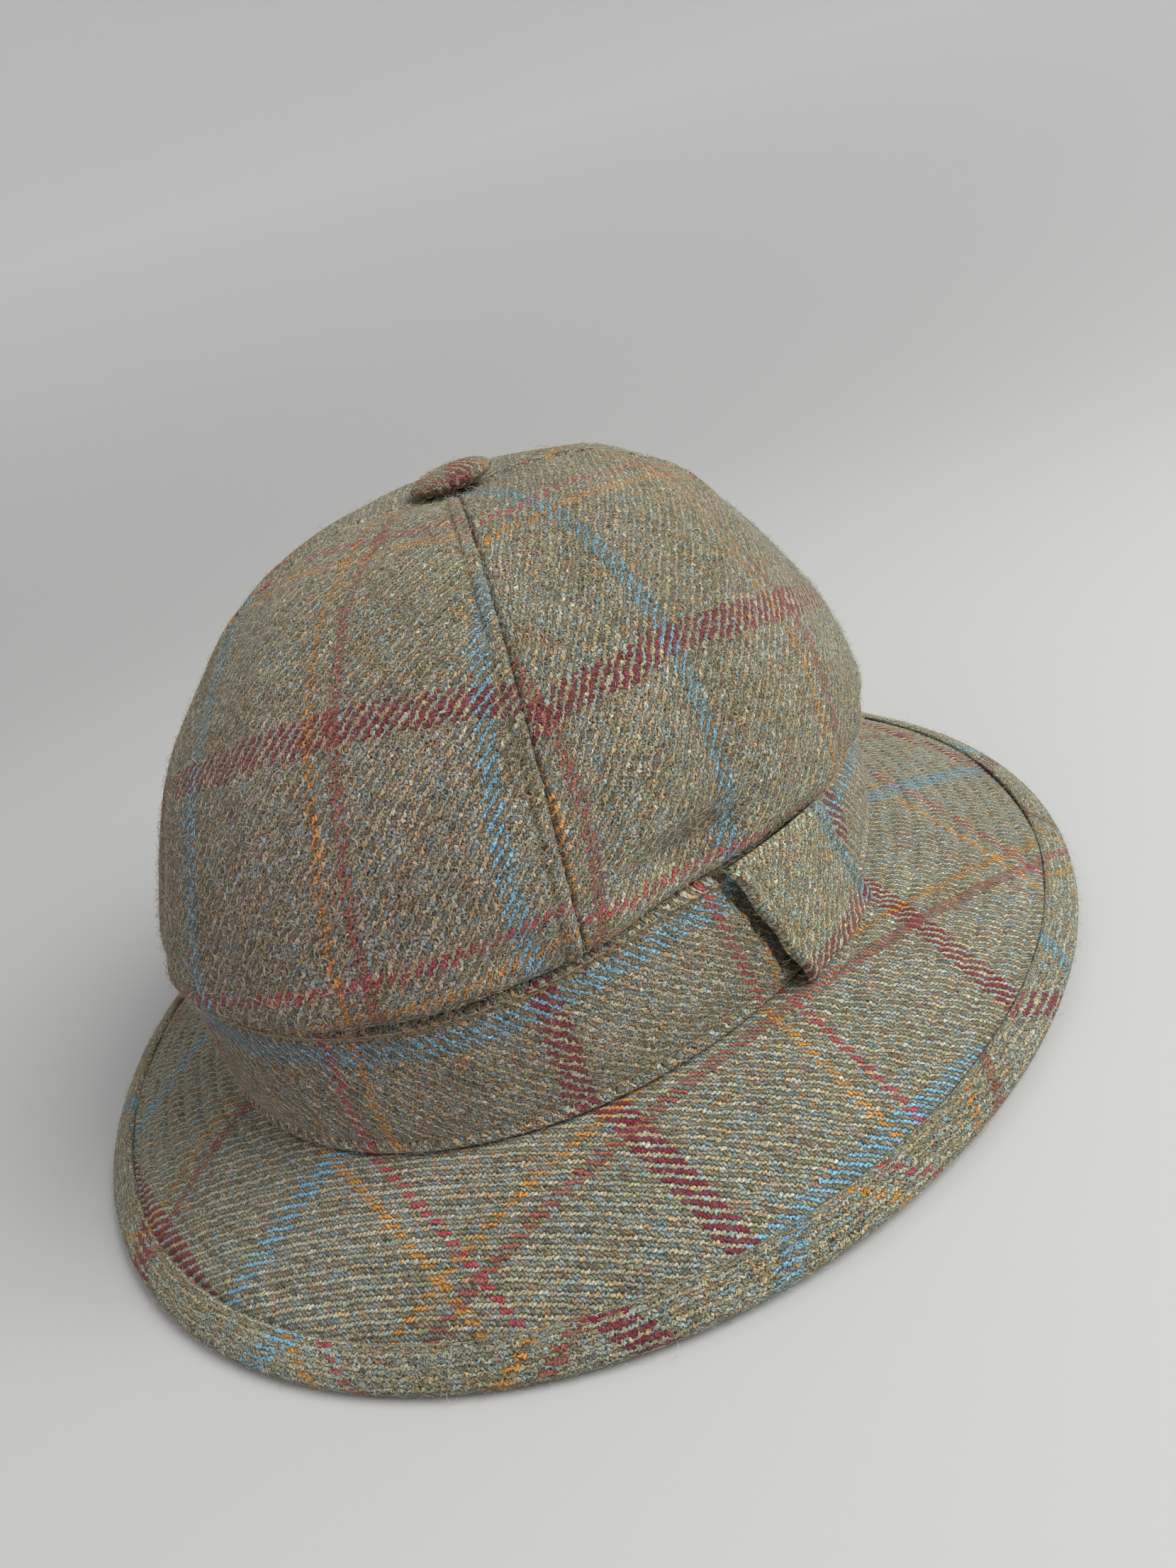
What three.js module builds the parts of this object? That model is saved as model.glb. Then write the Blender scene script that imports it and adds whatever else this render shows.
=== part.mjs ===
// A tweed hat with a four-panel crown, a covered button, a folded band with a
// keeper loop, and a stitched brim bound at its edge. Millimetres, +Z up,
// front = -Y, wearer's left = +X, resting on its brim at z = 0.
//
// Every piece is swept round one oval. A place on the hat is an angle t on that
// oval, a distance "off" outwards from it, and a height z.

import * as THREE from 'three';

// ---- driving dimensions -------------------------------------------------

const oval = { halfWidth: 87, halfLength: 105 };      // outside of the band
const gap = 0.3;                                      // left between two pieces
const cloth = { crown: 2.2, band: 2.5, brim: 2.6, binding: 1.2, loop: 2.6 };

const brimDim = {
  width: 51,          // seam to edge, along the cloth, at the wearer's sides
  backExtra: 7.5,     // more at the back, and as much less at the front
  drop: 22,           // edge below seam, half-way round each quarter
  dip: 1.6,           // front and back edge lower, side edges higher
  droop: 0.25,        // share of the drop that comes late, towards the edge
};
const seamHeight = 26.5;                              // top of the brim at the seam

const bandDim = {
  height: 36.5,
  puff: 1.4,
  rise: 5,            // more beside the loop, where the crown's lip lifts
  riseAngle: -27,
  riseSpread: 22,
};
const crownDim = {
  height: 118.8,      // seam to top
  swellHeight: 5,     // the cloth swells out over the band's top edge
  swellOut: 3.4,      // past the band's outside
  sideCurve: 2.72,    // superellipse powers of the dome
  topCurve: 1.39,
  tipRadius: 2,       // the four panel tips stop here, under the button
  slouch: [7.4, 1.2], // lean to the left and back for each 100 mm above the band
  puff: 2,            // each panel's middle stands out past its seams
  turn: 1.5,          // the seams are this far round from the quarters, in degrees
};
const buttonDim = { radius: 10.6, height: 5.4, seat: 2.7, seatSpread: 18.4, tilt: 4.5 };
const loopDim = {
  width: 35.5,
  topAngle: -14,      // its middle, where it comes out from under the crown
  footAngle: -5,      // and where it meets the brim
  footUp: 1.5,        // its foot is caught down this far above the brim
  standOff: 2,        // clear of the band in the middle, more at its front edge
};

// Soft dents pressed into the crown: angle, height above the seam, depth,
// half-width in degrees, half-height
const dents = [
  [-25, 50, 4.0, 9, 6],
  [-148, 46, 3.4, 30, 13],
  [-138, 88, 2.2, 26, 24],
  [38, 92, 5.2, 26, 24],
  [-118, 58, 2.2, 6, 22],
  [62, 60, 1.8, 9, 16],
  [160, 50, 2.4, 9, 12],
];

const stepsRound = 72;
const stepsPanel = 12;
const stepsDome = 11;

const rad = THREE.MathUtils.degToRad;
const { halfWidth: A, halfLength: B } = oval;

// ---- the oval ------------------------------------------------------------

/** Outward unit normal of the oval at angle t. */
function outward(t) {
  const n = new THREE.Vector2(Math.cos(t) / A, Math.sin(t) / B);
  return n.normalize();
}

/** Point at angle t, a distance off outside the oval, at height z. */
function onOval(t, off, z) {
  const n = outward(t);
  return new THREE.Vector3(A * Math.cos(t) + off * n.x, B * Math.sin(t) + off * n.y, z);
}

// ---- the brim's line -----------------------------------------------------

const brimWidth = (t) => brimDim.width + brimDim.backExtra * Math.sin(t);
const brimDrop = (t) => brimDim.drop - brimDim.dip * Math.cos(2 * t);
const brimReach = (t) => Math.sqrt(brimWidth(t) ** 2 - brimDrop(t) ** 2);

/** Top surface of the brim: s = 0 at the seam, 1 at the edge. */
function brimTop(t, s) {
  const fall = (1 - brimDim.droop) * s + brimDim.droop * s * s;
  return [brimReach(t) * s, seamHeight - brimDrop(t) * fall];
}

/** Slope of the brim at s, as an angle below level. */
function brimSlope(t, s) {
  const steepness = 1 - brimDim.droop + 2 * brimDim.droop * s;
  return Math.atan((brimDrop(t) * steepness) / brimReach(t));
}

/** The oval stands a little forward of the middle of the brim's outline. */
const rimReach = (t) => Math.max(...bindingOutline(t).map(([off]) => off));
const forward = (rimReach(Math.PI / 2) - rimReach(-Math.PI / 2)) / 2;

// ---- the crown's surface -------------------------------------------------

const crownWall = -(cloth.band + gap);                // behind the band
const swellTop = bandDim.height + crownDim.swellHeight;

/** Depth of all the dents together at angle t and height h above the seam. */
function dentDepth(t, h) {
  let depth = 0;
  for (const [angle, height, deep, halfAngle, halfHeight] of dents) {
    let turn = (t - rad(angle)) / rad(halfAngle);
    const full = (2 * Math.PI) / rad(halfAngle);
    turn -= full * Math.round(turn / full);
    depth += deep * Math.exp(-(turn ** 2) - ((h - height) / halfHeight) ** 2);
  }
  return depth;
}

/** How much taller the band is at angle t, round the loop. */
function bandRise(t) {
  let turn = (t - rad(bandDim.riseAngle)) / rad(bandDim.riseSpread);
  const full = 360 / bandDim.riseSpread;
  turn -= full * Math.round(turn / full);
  return bandDim.rise * Math.exp(-(turn ** 2));
}

/** Outer surface of the crown. v runs 0..1 up the wall, 1..2 over the swell
 *  above the band, and 2..3 over the dome to the panel tips. */
function crownPoint(t, v) {
  let off;
  let h;
  let scale = 1;
  if (v <= 1) {
    off = crownWall;
    h = gap + (bandDim.height - 1 - gap) * v;
  } else if (v <= 2) {
    const turn = ((v - 1) * Math.PI) / 2;
    off = crownWall + (crownDim.swellOut - crownWall) * Math.sin(turn);
    h = bandDim.height - 1 + (crownDim.swellHeight + 1) * (1 - Math.cos(turn));
  } else {
    const last = Math.acos((crownDim.tipRadius / A) ** (crownDim.sideCurve / 2));
    const turn = (v - 2) * last;
    off = crownDim.swellOut;
    scale = Math.cos(turn) ** (2 / crownDim.sideCurve);
    h = swellTop + (crownDim.height - swellTop) * Math.sin(turn) ** (2 / crownDim.topCurve);
  }
  const lean = Math.max(0, h - bandDim.height) / 100;
  const climbed = Math.max(0, (h - swellTop) / (crownDim.height - swellTop));
  h += bandRise(t) * Math.min(v, 1) * (1 - climbed) ** 2;
  const loose = THREE.MathUtils.smoothstep(v, 1, 2.2) * THREE.MathUtils.smoothstep(3 - v, 0, 0.5);
  const fullness = Math.cos(2 * (t - rad(crownDim.turn))) ** 2 - 0.5;
  off += loose * (crownDim.puff * fullness - dentDepth(t, h));
  const p = onOval(t, off, 0).multiplyScalar(scale);
  const radius = Math.hypot(p.x, p.y);
  const seat = buttonDim.seat * Math.exp(-((radius / buttonDim.seatSpread) ** 2));
  p.x += crownDim.slouch[0] * lean;
  p.y += crownDim.slouch[1] * lean;
  p.z = seamHeight + h - seat;
  return p;
}

const apex = new THREE.Vector3(
  (crownDim.slouch[0] * (crownDim.height - bandDim.height)) / 100,
  (crownDim.slouch[1] * (crownDim.height - bandDim.height)) / 100,
  seamHeight + crownDim.height,
);

// ---- closed meshes from grids --------------------------------------------

/** Triangles of a closed ring: sections[i][j] are the points of section i,
 *  anticlockwise with outwards to the right. */
function ringGeometry(sections) {
  const rows = sections.length;
  const cols = sections[0].length;
  const index = [];
  for (let i = 0; i < rows; i++) {
    for (let j = 0; j < cols; j++) {
      const a = i * cols + j;
      const b = i * cols + ((j + 1) % cols);
      const c = ((i + 1) % rows) * cols + ((j + 1) % cols);
      const d = ((i + 1) % rows) * cols + j;
      index.push(a, c, b, a, d, c);
    }
  }
  return indexed(sections.flat(), index);
}

/** A sheet of cloth: an outer grid of points and its inner partner, closed by
 *  strips along the four edges. Rows run anticlockwise, columns upwards. */
function sheetGeometry(outer, inner) {
  const rows = outer.length;
  const cols = outer[0].length;
  const half = rows * cols;
  const at = (i, j, side) => side * half + i * cols + j;
  const index = [];
  const quad = (a, b, c, d) => index.push(a, b, c, a, c, d);
  for (let i = 0; i + 1 < rows; i++) {
    for (let j = 0; j + 1 < cols; j++) {
      quad(at(i, j, 0), at(i + 1, j, 0), at(i + 1, j + 1, 0), at(i, j + 1, 0));
      quad(at(i, j, 1), at(i, j + 1, 1), at(i + 1, j + 1, 1), at(i + 1, j, 1));
    }
  }
  for (let i = 0; i + 1 < rows; i++) {
    quad(at(i, 0, 0), at(i, 0, 1), at(i + 1, 0, 1), at(i + 1, 0, 0));
    quad(at(i, cols - 1, 0), at(i + 1, cols - 1, 0), at(i + 1, cols - 1, 1), at(i, cols - 1, 1));
  }
  for (let j = 0; j + 1 < cols; j++) {
    quad(at(0, j, 0), at(0, j + 1, 0), at(0, j + 1, 1), at(0, j, 1));
    quad(at(rows - 1, j, 0), at(rows - 1, j, 1), at(rows - 1, j + 1, 1), at(rows - 1, j + 1, 0));
  }
  return indexed([...outer.flat(), ...inner.flat()], index);
}

function indexed(points, index) {
  const geometry = new THREE.BufferGeometry().setFromPoints(points);
  geometry.setIndex(index);
  geometry.computeVertexNormals();
  return geometry;
}

/** Sweep a closed (off, z) outline all the way round the oval. */
function sweepRound(outlineAt) {
  const sections = [];
  for (let i = 0; i < stepsRound; i++) {
    const t = (2 * Math.PI * i) / stepsRound;
    sections.push(outlineAt(t).map(([off, z]) => onOval(t, off, z)));
  }
  return ringGeometry(sections);
}

/** Move every point of a surface inwards by a thickness. */
function innerGrid(outer, thickness) {
  return outer.map((row, i) => row.map((p, j) => {
    const alongRow = new THREE.Vector3().subVectors(
      row[Math.min(j + 1, row.length - 1)], row[Math.max(j - 1, 0)]);
    const alongColumn = new THREE.Vector3().subVectors(
      outer[Math.min(i + 1, outer.length - 1)][j], outer[Math.max(i - 1, 0)][j]);
    const normal = new THREE.Vector3().crossVectors(alongColumn, alongRow).normalize();
    return p.clone().addScaledVector(normal, -thickness);
  }));
}

// ---- the pieces ----------------------------------------------------------

/** One wedge of the crown, centred on angle middle, tip under the button. */
function crownPanel(middle) {
  const levels = [0, 0.5, 1, 1.35, 1.7];
  for (let j = 0; j <= stepsDome; j++) levels.push(2 + j / stepsDome);
  const outer = [];
  for (let i = 0; i <= stepsPanel; i++) {
    outer.push(levels.map((v) => {
      const radius = Math.hypot(...crownPoint(rad(middle), v).sub(apex).setZ(0).toArray());
      const share = i / stepsPanel - 0.5;
      const seamGap = (gap + 0.06) / Math.max(radius, crownDim.tipRadius);
      return crownPoint(rad(middle) + share * (Math.PI / 2 - seamGap), v);
    }));
  }
  return sheetGeometry(outer, innerGrid(outer, cloth.crown));
}

/** The covered button, domed on top, its underside following its seat. */
function crownButton() {
  const { radius, height, seat, seatSpread } = buttonDim;
  const bottom = (r) => gap + 0.1 + 0.09 * r - seat * Math.exp(-((r / seatSpread) ** 2));
  const profile = [
    [0.55, bottom(0.55 * radius)], [0.9, bottom(0.9 * radius)], [1, 1.6],
    [0.97, 0.45 * height], [0.82, 0.76 * height], [0.5, 0.94 * height],
  ];
  const round = 24;
  const points = [new THREE.Vector3(0, 0, bottom(0)), new THREE.Vector3(0, 0, height - 1)];
  for (const [share, z] of profile) {
    for (let i = 0; i < round; i++) {
      const a = (2 * Math.PI * i) / round;
      points.push(new THREE.Vector3(
        share * radius * Math.cos(a), share * radius * Math.sin(a), z - (z > 2 ? 1 : 0)));
    }
  }
  const index = [];
  const at = (ring, i) => 2 + ring * round + (i % round);
  for (let i = 0; i < round; i++) {
    index.push(0, at(0, i + 1), at(0, i));
    index.push(1, at(profile.length - 1, i), at(profile.length - 1, i + 1));
    for (let k = 0; k + 1 < profile.length; k++) {
      index.push(at(k, i), at(k, i + 1), at(k + 1, i + 1), at(k, i), at(k + 1, i + 1), at(k + 1, i));
    }
  }
  const geometry = indexed(points, index);
  geometry.rotateY(rad(-buttonDim.tilt)).rotateX(rad(buttonDim.tilt / 2));
  geometry.translate(apex.x, apex.y, apex.z);
  return geometry;
}

/** The band: folded ridges along its top and bottom edges, puffed between. */
function bandOutline(t) {
  const base = seamHeight + gap;
  const top = seamHeight + bandDim.height + bandRise(t) - 1.5;
  const face = (share) => -1 + bandDim.puff * Math.sin(Math.PI * share);
  const inside = -cloth.band;
  const z = (share) => base + share * (top - base);
  return [
    [inside, z(0)], [0.4, z(0)], [0.8, z(0.05)], [face(0.14), z(0.12)],
    [face(0.35), z(0.35)], [face(0.65), z(0.65)], [face(0.86), z(0.86)],
    [0, z(0.95)], [-0.5, z(1)], [inside, z(1)],
  ];
}

/** The keeper loop: a thick folded strip over the band. Its top is tucked in
 *  under the crown's swell, and its foot is caught to the band's bottom fold. */
function bandLoop() {
  const { width, topAngle, footAngle, footUp, standOff } = loopDim;
  const low = seamHeight + footUp;
  const rows = 6;
  const cols = 8;
  const outer = [];
  const inner = [];
  for (let i = 0; i <= rows; i++) {
    const across = (2 * i) / rows - 1;
    const outerRow = [];
    const innerRow = [];
    for (let j = 0; j <= cols; j++) {
      const up = j / cols;
      const middle = rad(footAngle + (topAngle - footAngle) * up);
      const t = middle + (across * width) / 2 / Math.hypot(A * Math.sin(middle), B * Math.cos(middle));
      const high = seamHeight + bandDim.height + bandRise(t);
      const bow = standOff * (1 - 0.55 * across) * (0.3 + 0.7 * Math.sin(Math.PI * up) ** 0.6);
      const near = 1 + gap + bow - (up > 0.95 ? 0.5 : 0);
      const z = low + (high - low) * up;
      innerRow.push(onOval(t, near, z));
      outerRow.push(onOval(t, near + cloth.loop * (up > 0.95 ? 0.7 : 1), z - 0.9 * (1 - up)));
    }
    outer.push(outerRow);
    inner.push(innerRow);
  }
  return sheetGeometry(outer, inner);
}

/** The stitched brim: a flat seat under the crown, then the sloping plate. */
function brimOutline(t) {
  const seat = crownWall - cloth.crown;
  const stations = [0, 0.12, 0.3, 0.5, 0.7, 0.85, 1];
  const top = [[seat, seamHeight], ...stations.map((s) => brimTop(t, s))];
  const bottom = [[seat, seamHeight - cloth.brim], ...stations.map((s) => {
    const [off, z] = brimTop(t, s);
    const slope = brimSlope(t, s);
    return [off - cloth.brim * Math.sin(slope), z - cloth.brim * Math.cos(slope)];
  })];
  return [...bottom, ...top.reverse()];
}

/** The binding: a strip folded round the brim's edge, pressed flat where the
 *  hat rests on it. */
function bindingOutline(t) {
  const slope = brimSlope(t, 1);
  const [edgeOff, edgeZ] = brimTop(t, 1);
  const middleOff = edgeOff - (cloth.brim / 2) * Math.sin(slope);
  const middleZ = edgeZ - (cloth.brim / 2) * Math.cos(slope);
  const inside = cloth.brim / 2 + gap;
  const outside = inside + cloth.binding;
  const reach = 7.4;
  const outline = [
    [-reach, -inside], [-reach + 0.6, -outside], [-2.4, -outside], [-0.2, -outside],
    [1.5, -0.62 * outside], [2.1, 0], [1.5, 0.62 * outside], [-0.2, outside],
    [-reach + 0.6, outside], [-reach, inside], [gap, inside], [gap, -inside],
  ];
  return outline.map(([u, v]) => {
    const z = middleZ - u * Math.sin(slope) + v * Math.cos(slope);
    return [middleOff + u * Math.cos(slope) + v * Math.sin(slope), v < 0 ? Math.max(z, 0) : z];
  });
}

// ---- the hat -------------------------------------------------------------

const group = new THREE.Group();
group.name = 'tweed_hat';

function addPiece(name, geometry, color) {
  geometry.translate(0, -forward, 0);
  const material = new THREE.MeshStandardMaterial({ color, roughness: 0.95, metalness: 0 });
  material.name = `${name}_cloth`;
  const mesh = new THREE.Mesh(geometry, material);
  mesh.name = name;
  group.add(mesh);
}

addPiece('crown_front', crownPanel(crownDim.turn - 90), '#756b52');
addPiece('crown_left', crownPanel(crownDim.turn), '#7a7159');
addPiece('crown_back', crownPanel(crownDim.turn + 90), '#776e55');
addPiece('crown_right', crownPanel(crownDim.turn + 180), '#746a51');
addPiece('crown_button', crownButton(), '#7d5a48');
addPiece('hat_band', sweepRound(bandOutline), '#71674e');
addPiece('band_loop', bandLoop(), '#7c725a');
addPiece('brim', sweepRound(brimOutline), '#807860');
addPiece('brim_binding', sweepRound(bindingOutline), '#756d57');

export default group;
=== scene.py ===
# %% [markdown]
# # A soft tweed hat
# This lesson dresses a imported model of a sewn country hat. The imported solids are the
# pattern pieces: four crown panels, a covered button, a folded band with its keeper
# loop, a stitched brim and the binding round the brim's edge. Each cell below replaces
# one of them with cloth that has seams, stitches, a woven check and loose wool.
#
# The frame comes first, because everything else is placed by it.

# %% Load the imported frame
import bpy
import numpy as np
from mathutils import Matrix, Vector


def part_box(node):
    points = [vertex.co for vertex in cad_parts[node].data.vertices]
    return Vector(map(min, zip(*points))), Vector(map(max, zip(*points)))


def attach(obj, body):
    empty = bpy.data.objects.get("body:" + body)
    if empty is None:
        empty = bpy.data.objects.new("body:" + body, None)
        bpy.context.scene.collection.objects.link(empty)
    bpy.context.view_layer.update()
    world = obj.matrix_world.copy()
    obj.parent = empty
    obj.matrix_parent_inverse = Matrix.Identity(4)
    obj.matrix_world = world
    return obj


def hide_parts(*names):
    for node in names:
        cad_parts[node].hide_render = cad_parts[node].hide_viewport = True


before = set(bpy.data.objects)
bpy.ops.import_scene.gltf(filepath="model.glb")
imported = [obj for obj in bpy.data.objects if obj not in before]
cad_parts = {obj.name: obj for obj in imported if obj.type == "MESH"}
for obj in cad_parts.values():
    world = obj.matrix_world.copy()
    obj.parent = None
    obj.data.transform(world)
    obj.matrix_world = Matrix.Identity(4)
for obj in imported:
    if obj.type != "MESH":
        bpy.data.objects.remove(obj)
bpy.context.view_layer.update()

print("packed nodes:", ", ".join(sorted(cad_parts)))

# %% [markdown]
# ## One oval for the whole hat
# A hat is cut round a head, so every piece follows the same oval. A place on the hat is
# an angle t on that oval, a distance outwards from it, and a height. The sizes are in
# millimetres, as a hatter would write them, and one factor turns them into metres.
# The oval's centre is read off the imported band, which goes evenly round it.

# %% Sizes and the oval
MM = 0.001
HALF_WIDTH, HALF_LENGTH = 87.0, 105.0
SEAM_HEIGHT = 26.5
BAND_HEIGHT = 36.5
FIT_GAP = 0.3
band_low, band_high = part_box("hat_band")
OVAL_CENTRE_Y = (band_low[1] + band_high[1]) / 2 / MM


def outward(t):
    """Unit normal of the oval: its gradient, (cos t / width, sin t / length), made one long."""
    n = np.stack([np.cos(t) / HALF_WIDTH, np.sin(t) / HALF_LENGTH], -1)
    return n / np.linalg.norm(n, axis=-1, keepdims=True)


def on_oval(t, off, z):
    """The oval's point at angle t, moved off millimetres along its normal, at height z."""
    t, off, z = np.broadcast_arrays(t, off, z)
    n = outward(t)
    return np.stack([HALF_WIDTH * np.cos(t) + off * n[..., 0],
                     HALF_LENGTH * np.sin(t) + off * n[..., 1], z], -1)


def soft_step(x, low, high):
    """0 below low, 1 above high, and 3x^2 - 2x^3 of the way in between."""
    x = np.clip((x - low) / (high - low), 0, 1)
    return x * x * (3 - 2 * x)


def bell(x, width):
    """exp(-(x / width)^2): 1 in the middle, 0.37 at one width from it."""
    return np.exp(-(x / width) ** 2)


def wrapped(angle):
    """The same angle between -pi and pi."""
    return (angle + np.pi) % (2 * np.pi) - np.pi


round_angles = np.radians(np.linspace(-180, 180, 3601))
round_points = on_oval(round_angles, 0.0, 0.0)
round_length = np.concatenate([[0], np.cumsum(np.linalg.norm(np.diff(round_points, axis=0), axis=1))])


def arc_at(t):
    """Distance round the oval from the front left seam (at -45 degrees) to angle t."""
    turn = wrapped(t)
    whole = np.round((t - turn) / (2 * np.pi)) * round_length[-1]
    start = np.interp(-np.pi / 4, round_angles, round_length)
    return whole + np.interp(turn, round_angles, round_length) - start


print("head size: %.0f mm round the band" % round_length[-1])

# %% [markdown]
# ## Soft cloth is never quite even
# Sewn wool keeps small hollows and swellings. A handful of sine waves, each with its
# own direction and phase from a seeded generator, gives the same gentle unevenness
# every time the file runs, and needs no texture.

# %% Gentle unevenness


def lumps(x, y, size, seed, waves=7):
    """Sum of plane waves: sin(2 pi (x cos a + y sin a) / length + phase), scaled to about +-1."""
    rng = np.random.default_rng(seed)
    total = np.zeros(np.broadcast(x, y).shape)
    for angle, length, phase in zip(rng.uniform(0, np.pi, waves), rng.uniform(0.7, 1.6, waves) * size,
                                    rng.uniform(0, 2 * np.pi, waves)):
        total += np.sin(2 * np.pi * (x * np.cos(angle) + y * np.sin(angle)) / length + phase)
    return total / np.sqrt(waves)


print("lumps at the origin:", round(float(lumps(0.0, 0.0, 30, 1)), 3))

# %% [markdown]
# ## From a grid of points to a piece of cloth
# A sewn piece is a closed section carried along a path: up the outside, over the edge
# and back down the inside. Laid out as a grid, its faces are just neighbours, and
# whole arrays do the work. Each corner also gets a place on the flat cloth, so that the
# weave can follow the way the piece was cut.

# %% Grid to mesh
SCENE = bpy.context.scene


def finish_mesh(name, points, faces, cloth):
    """A smooth mesh object from points in mm, a list of face arrays, and a cloth place per corner."""
    mesh = bpy.data.meshes.new(name)
    place = points.reshape(-1, 3) + np.array([0.0, OVAL_CENTRE_Y, 0.0])
    mesh.from_pydata((place * MM).tolist(), [], sum((part.tolist() for part in faces), []))
    mesh.polygons.foreach_set("use_smooth", np.ones(len(mesh.polygons), dtype=bool))
    layer = mesh.uv_layers.new(name="cloth")
    layer.data.foreach_set("uv", (cloth.reshape(-1, 2) * MM).ravel().astype(np.float32))
    mesh.update()
    piece = bpy.data.objects.new(name, mesh)
    SCENE.collection.objects.link(piece)
    return piece


def grid_corners(rows, cols):
    """Row and column of every quad's four corners, as two arrays of four columns."""
    i, j = np.divmod(np.arange(rows * cols)[:, None], cols)
    return i + np.array([0, 1, 1, 0]), j + np.array([0, 0, 1, 1])


def sewn_piece(name, points, cloth, goes_round):
    """Quads between neighbours of a grid whose columns close into a section.

    Rows join up too where the piece goes round the hat; otherwise each end is capped by
    quads from the outer half of the section to the inner half."""
    rows, cols = points.shape[:2]
    i, j = grid_corners(rows if goes_round else rows - 1, cols)
    faces, places = (i % rows) * cols + j % cols, cloth[i, j]
    if not goes_round:
        k = np.arange(cols // 2 - 1)
        partner = cols - 1 - k
        first = np.stack([k, k + 1, partner - 1, partner], -1)
        last = np.stack([k, partner, partner - 1, k + 1], -1)
        faces = np.concatenate([faces, first, (rows - 1) * cols + last])
        places = np.concatenate([places, cloth[0][first], cloth[-1][last]])
    return finish_mesh(name, points, [faces], places)


def surface_normals(points):
    """Unit normals of a grid: the cross product of its two central differences."""
    n = np.cross(np.gradient(points, axis=0), np.gradient(points, axis=1))
    return n / np.maximum(np.linalg.norm(n, axis=-1, keepdims=True), 1e-9)


def two_faced_piece(name, outer, inner, cloth):
    """A capped piece whose section goes up an outer grid and back down an inner one."""
    points = np.concatenate([outer, inner[:, ::-1]], 1)
    places = np.concatenate([cloth, cloth[:, ::-1], cloth[:, :1]], 1)
    return sewn_piece(name, points, places, goes_round=False)


def face_of(outer, cloth, **more):
    """What the stitches and the wool need to know of a piece's outer face."""
    return {"outer": outer, "normals": surface_normals(outer), "cloth": cloth, **more}


print("mesh helpers ready")

# %% [markdown]
# ## The crown's shape
# The crown stands behind the band, swells out over it, and rises as a soft dome. The
# dome is a superellipse: a circle's sine and cosine raised to powers, which keeps the
# sides upright and the top round. It leans a little to the left and back, as soft hats
# do, and a few dents are pressed into it. Each is given by its angle and height, its
# depth, and half its size round and up.

# %% The crown as a function of angle and level
CROWN_HEIGHT = 118.8
SWELL_TOP = BAND_HEIGHT + 5.0
WALL_OFF = -2.8
SWELL_OUT = 3.4
DOME_SIDE, DOME_TOP, TIP_RADIUS = 2.72, 1.39, 2.0
SLOUCH = (0.074, 0.012)
CROWN_TURN = 1.5
DENTS = [(-27, 49.0, 6.8, 8, 5), (-52, 45, 2.4, 6, 6), (-148, 46, 3.4, 30, 13), (-138, 88, 2.2, 26, 24),
         (38, 92, 5.2, 26, 24), (-118, 58, 2.2, 6, 22), (62, 60, 1.8, 9, 16), (160, 50, 2.4, 9, 12)]


def band_rise(t):
    """Extra height where the crown's lip lifts beside the loop: 5 exp(-((t + 27) / 22)^2), in degrees."""
    return 5.0 * bell(wrapped(t + np.radians(27)), np.radians(22))


def dent_depth(t, h):
    """Sum of bell-shaped hollows: depth exp(-(angle / half angle)^2 - (height / half height)^2)."""
    total = np.zeros(np.broadcast(t, h).shape)
    for angle, height, deep, half_angle, half_height in DENTS:
        turn = wrapped(t - np.radians(angle))
        total += deep * bell(turn, np.radians(half_angle)) * bell(h - height, half_height)
    return total


def crown_surface(t, v):
    """Outer face of the crown. v runs 0..1 up the wall behind the band, 1..2 round the
    swell, a quarter circle out and up, and 2..3 over the superellipse dome."""
    t, v = np.broadcast_arrays(t, v)
    wall_h = FIT_GAP + (BAND_HEIGHT - 1 - FIT_GAP) * np.clip(v, 0, 1)
    turn = np.clip(v - 1, 0, 1) * np.pi / 2
    swell_off = WALL_OFF + (SWELL_OUT - WALL_OFF) * np.sin(turn)
    swell_h = BAND_HEIGHT - 1 + (SWELL_TOP - BAND_HEIGHT + 1) * (1 - np.cos(turn))
    last = np.arccos((TIP_RADIUS / HALF_WIDTH) ** (DOME_SIDE / 2))
    climb = np.clip(v - 2, 0, 1) * last
    dome_h = SWELL_TOP + (CROWN_HEIGHT - SWELL_TOP) * np.sin(climb) ** (2 / DOME_TOP)
    off = np.where(v <= 1, WALL_OFF, np.where(v <= 2, swell_off, SWELL_OUT))
    h = np.where(v <= 1, wall_h, np.where(v <= 2, swell_h, dome_h))
    scale = np.where(v <= 2, 1.0, np.cos(climb) ** (2 / DOME_SIDE))
    lean = np.clip(h - BAND_HEIGHT, 0, None)
    climbed = np.clip((h - SWELL_TOP) / (CROWN_HEIGHT - SWELL_TOP), 0, 1)
    h = h + band_rise(t) * np.clip(v, 0, 1) * (1 - climbed) ** 2
    loose = soft_step(v, 1, 2.2) * soft_step(3 - v, 0, 0.5)
    fullness = np.cos(2 * (t - np.radians(CROWN_TURN))) ** 2 - 0.5
    off = off + loose * (2.0 * fullness - dent_depth(t, h))
    p = on_oval(t, off, 0.0) * scale[..., None]
    seat = 2.7 * bell(np.hypot(p[..., 0], p[..., 1]), 18.4)
    return np.stack([p[..., 0] + SLOUCH[0] * lean, p[..., 1] + SLOUCH[1] * lean,
                     SEAM_HEIGHT + h - seat], -1)


APEX = np.array([*(slouch * (CROWN_HEIGHT - BAND_HEIGHT) for slouch in SLOUCH),
                 SEAM_HEIGHT + CROWN_HEIGHT])
print("crown top at", np.round(APEX, 1), "mm")

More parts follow.
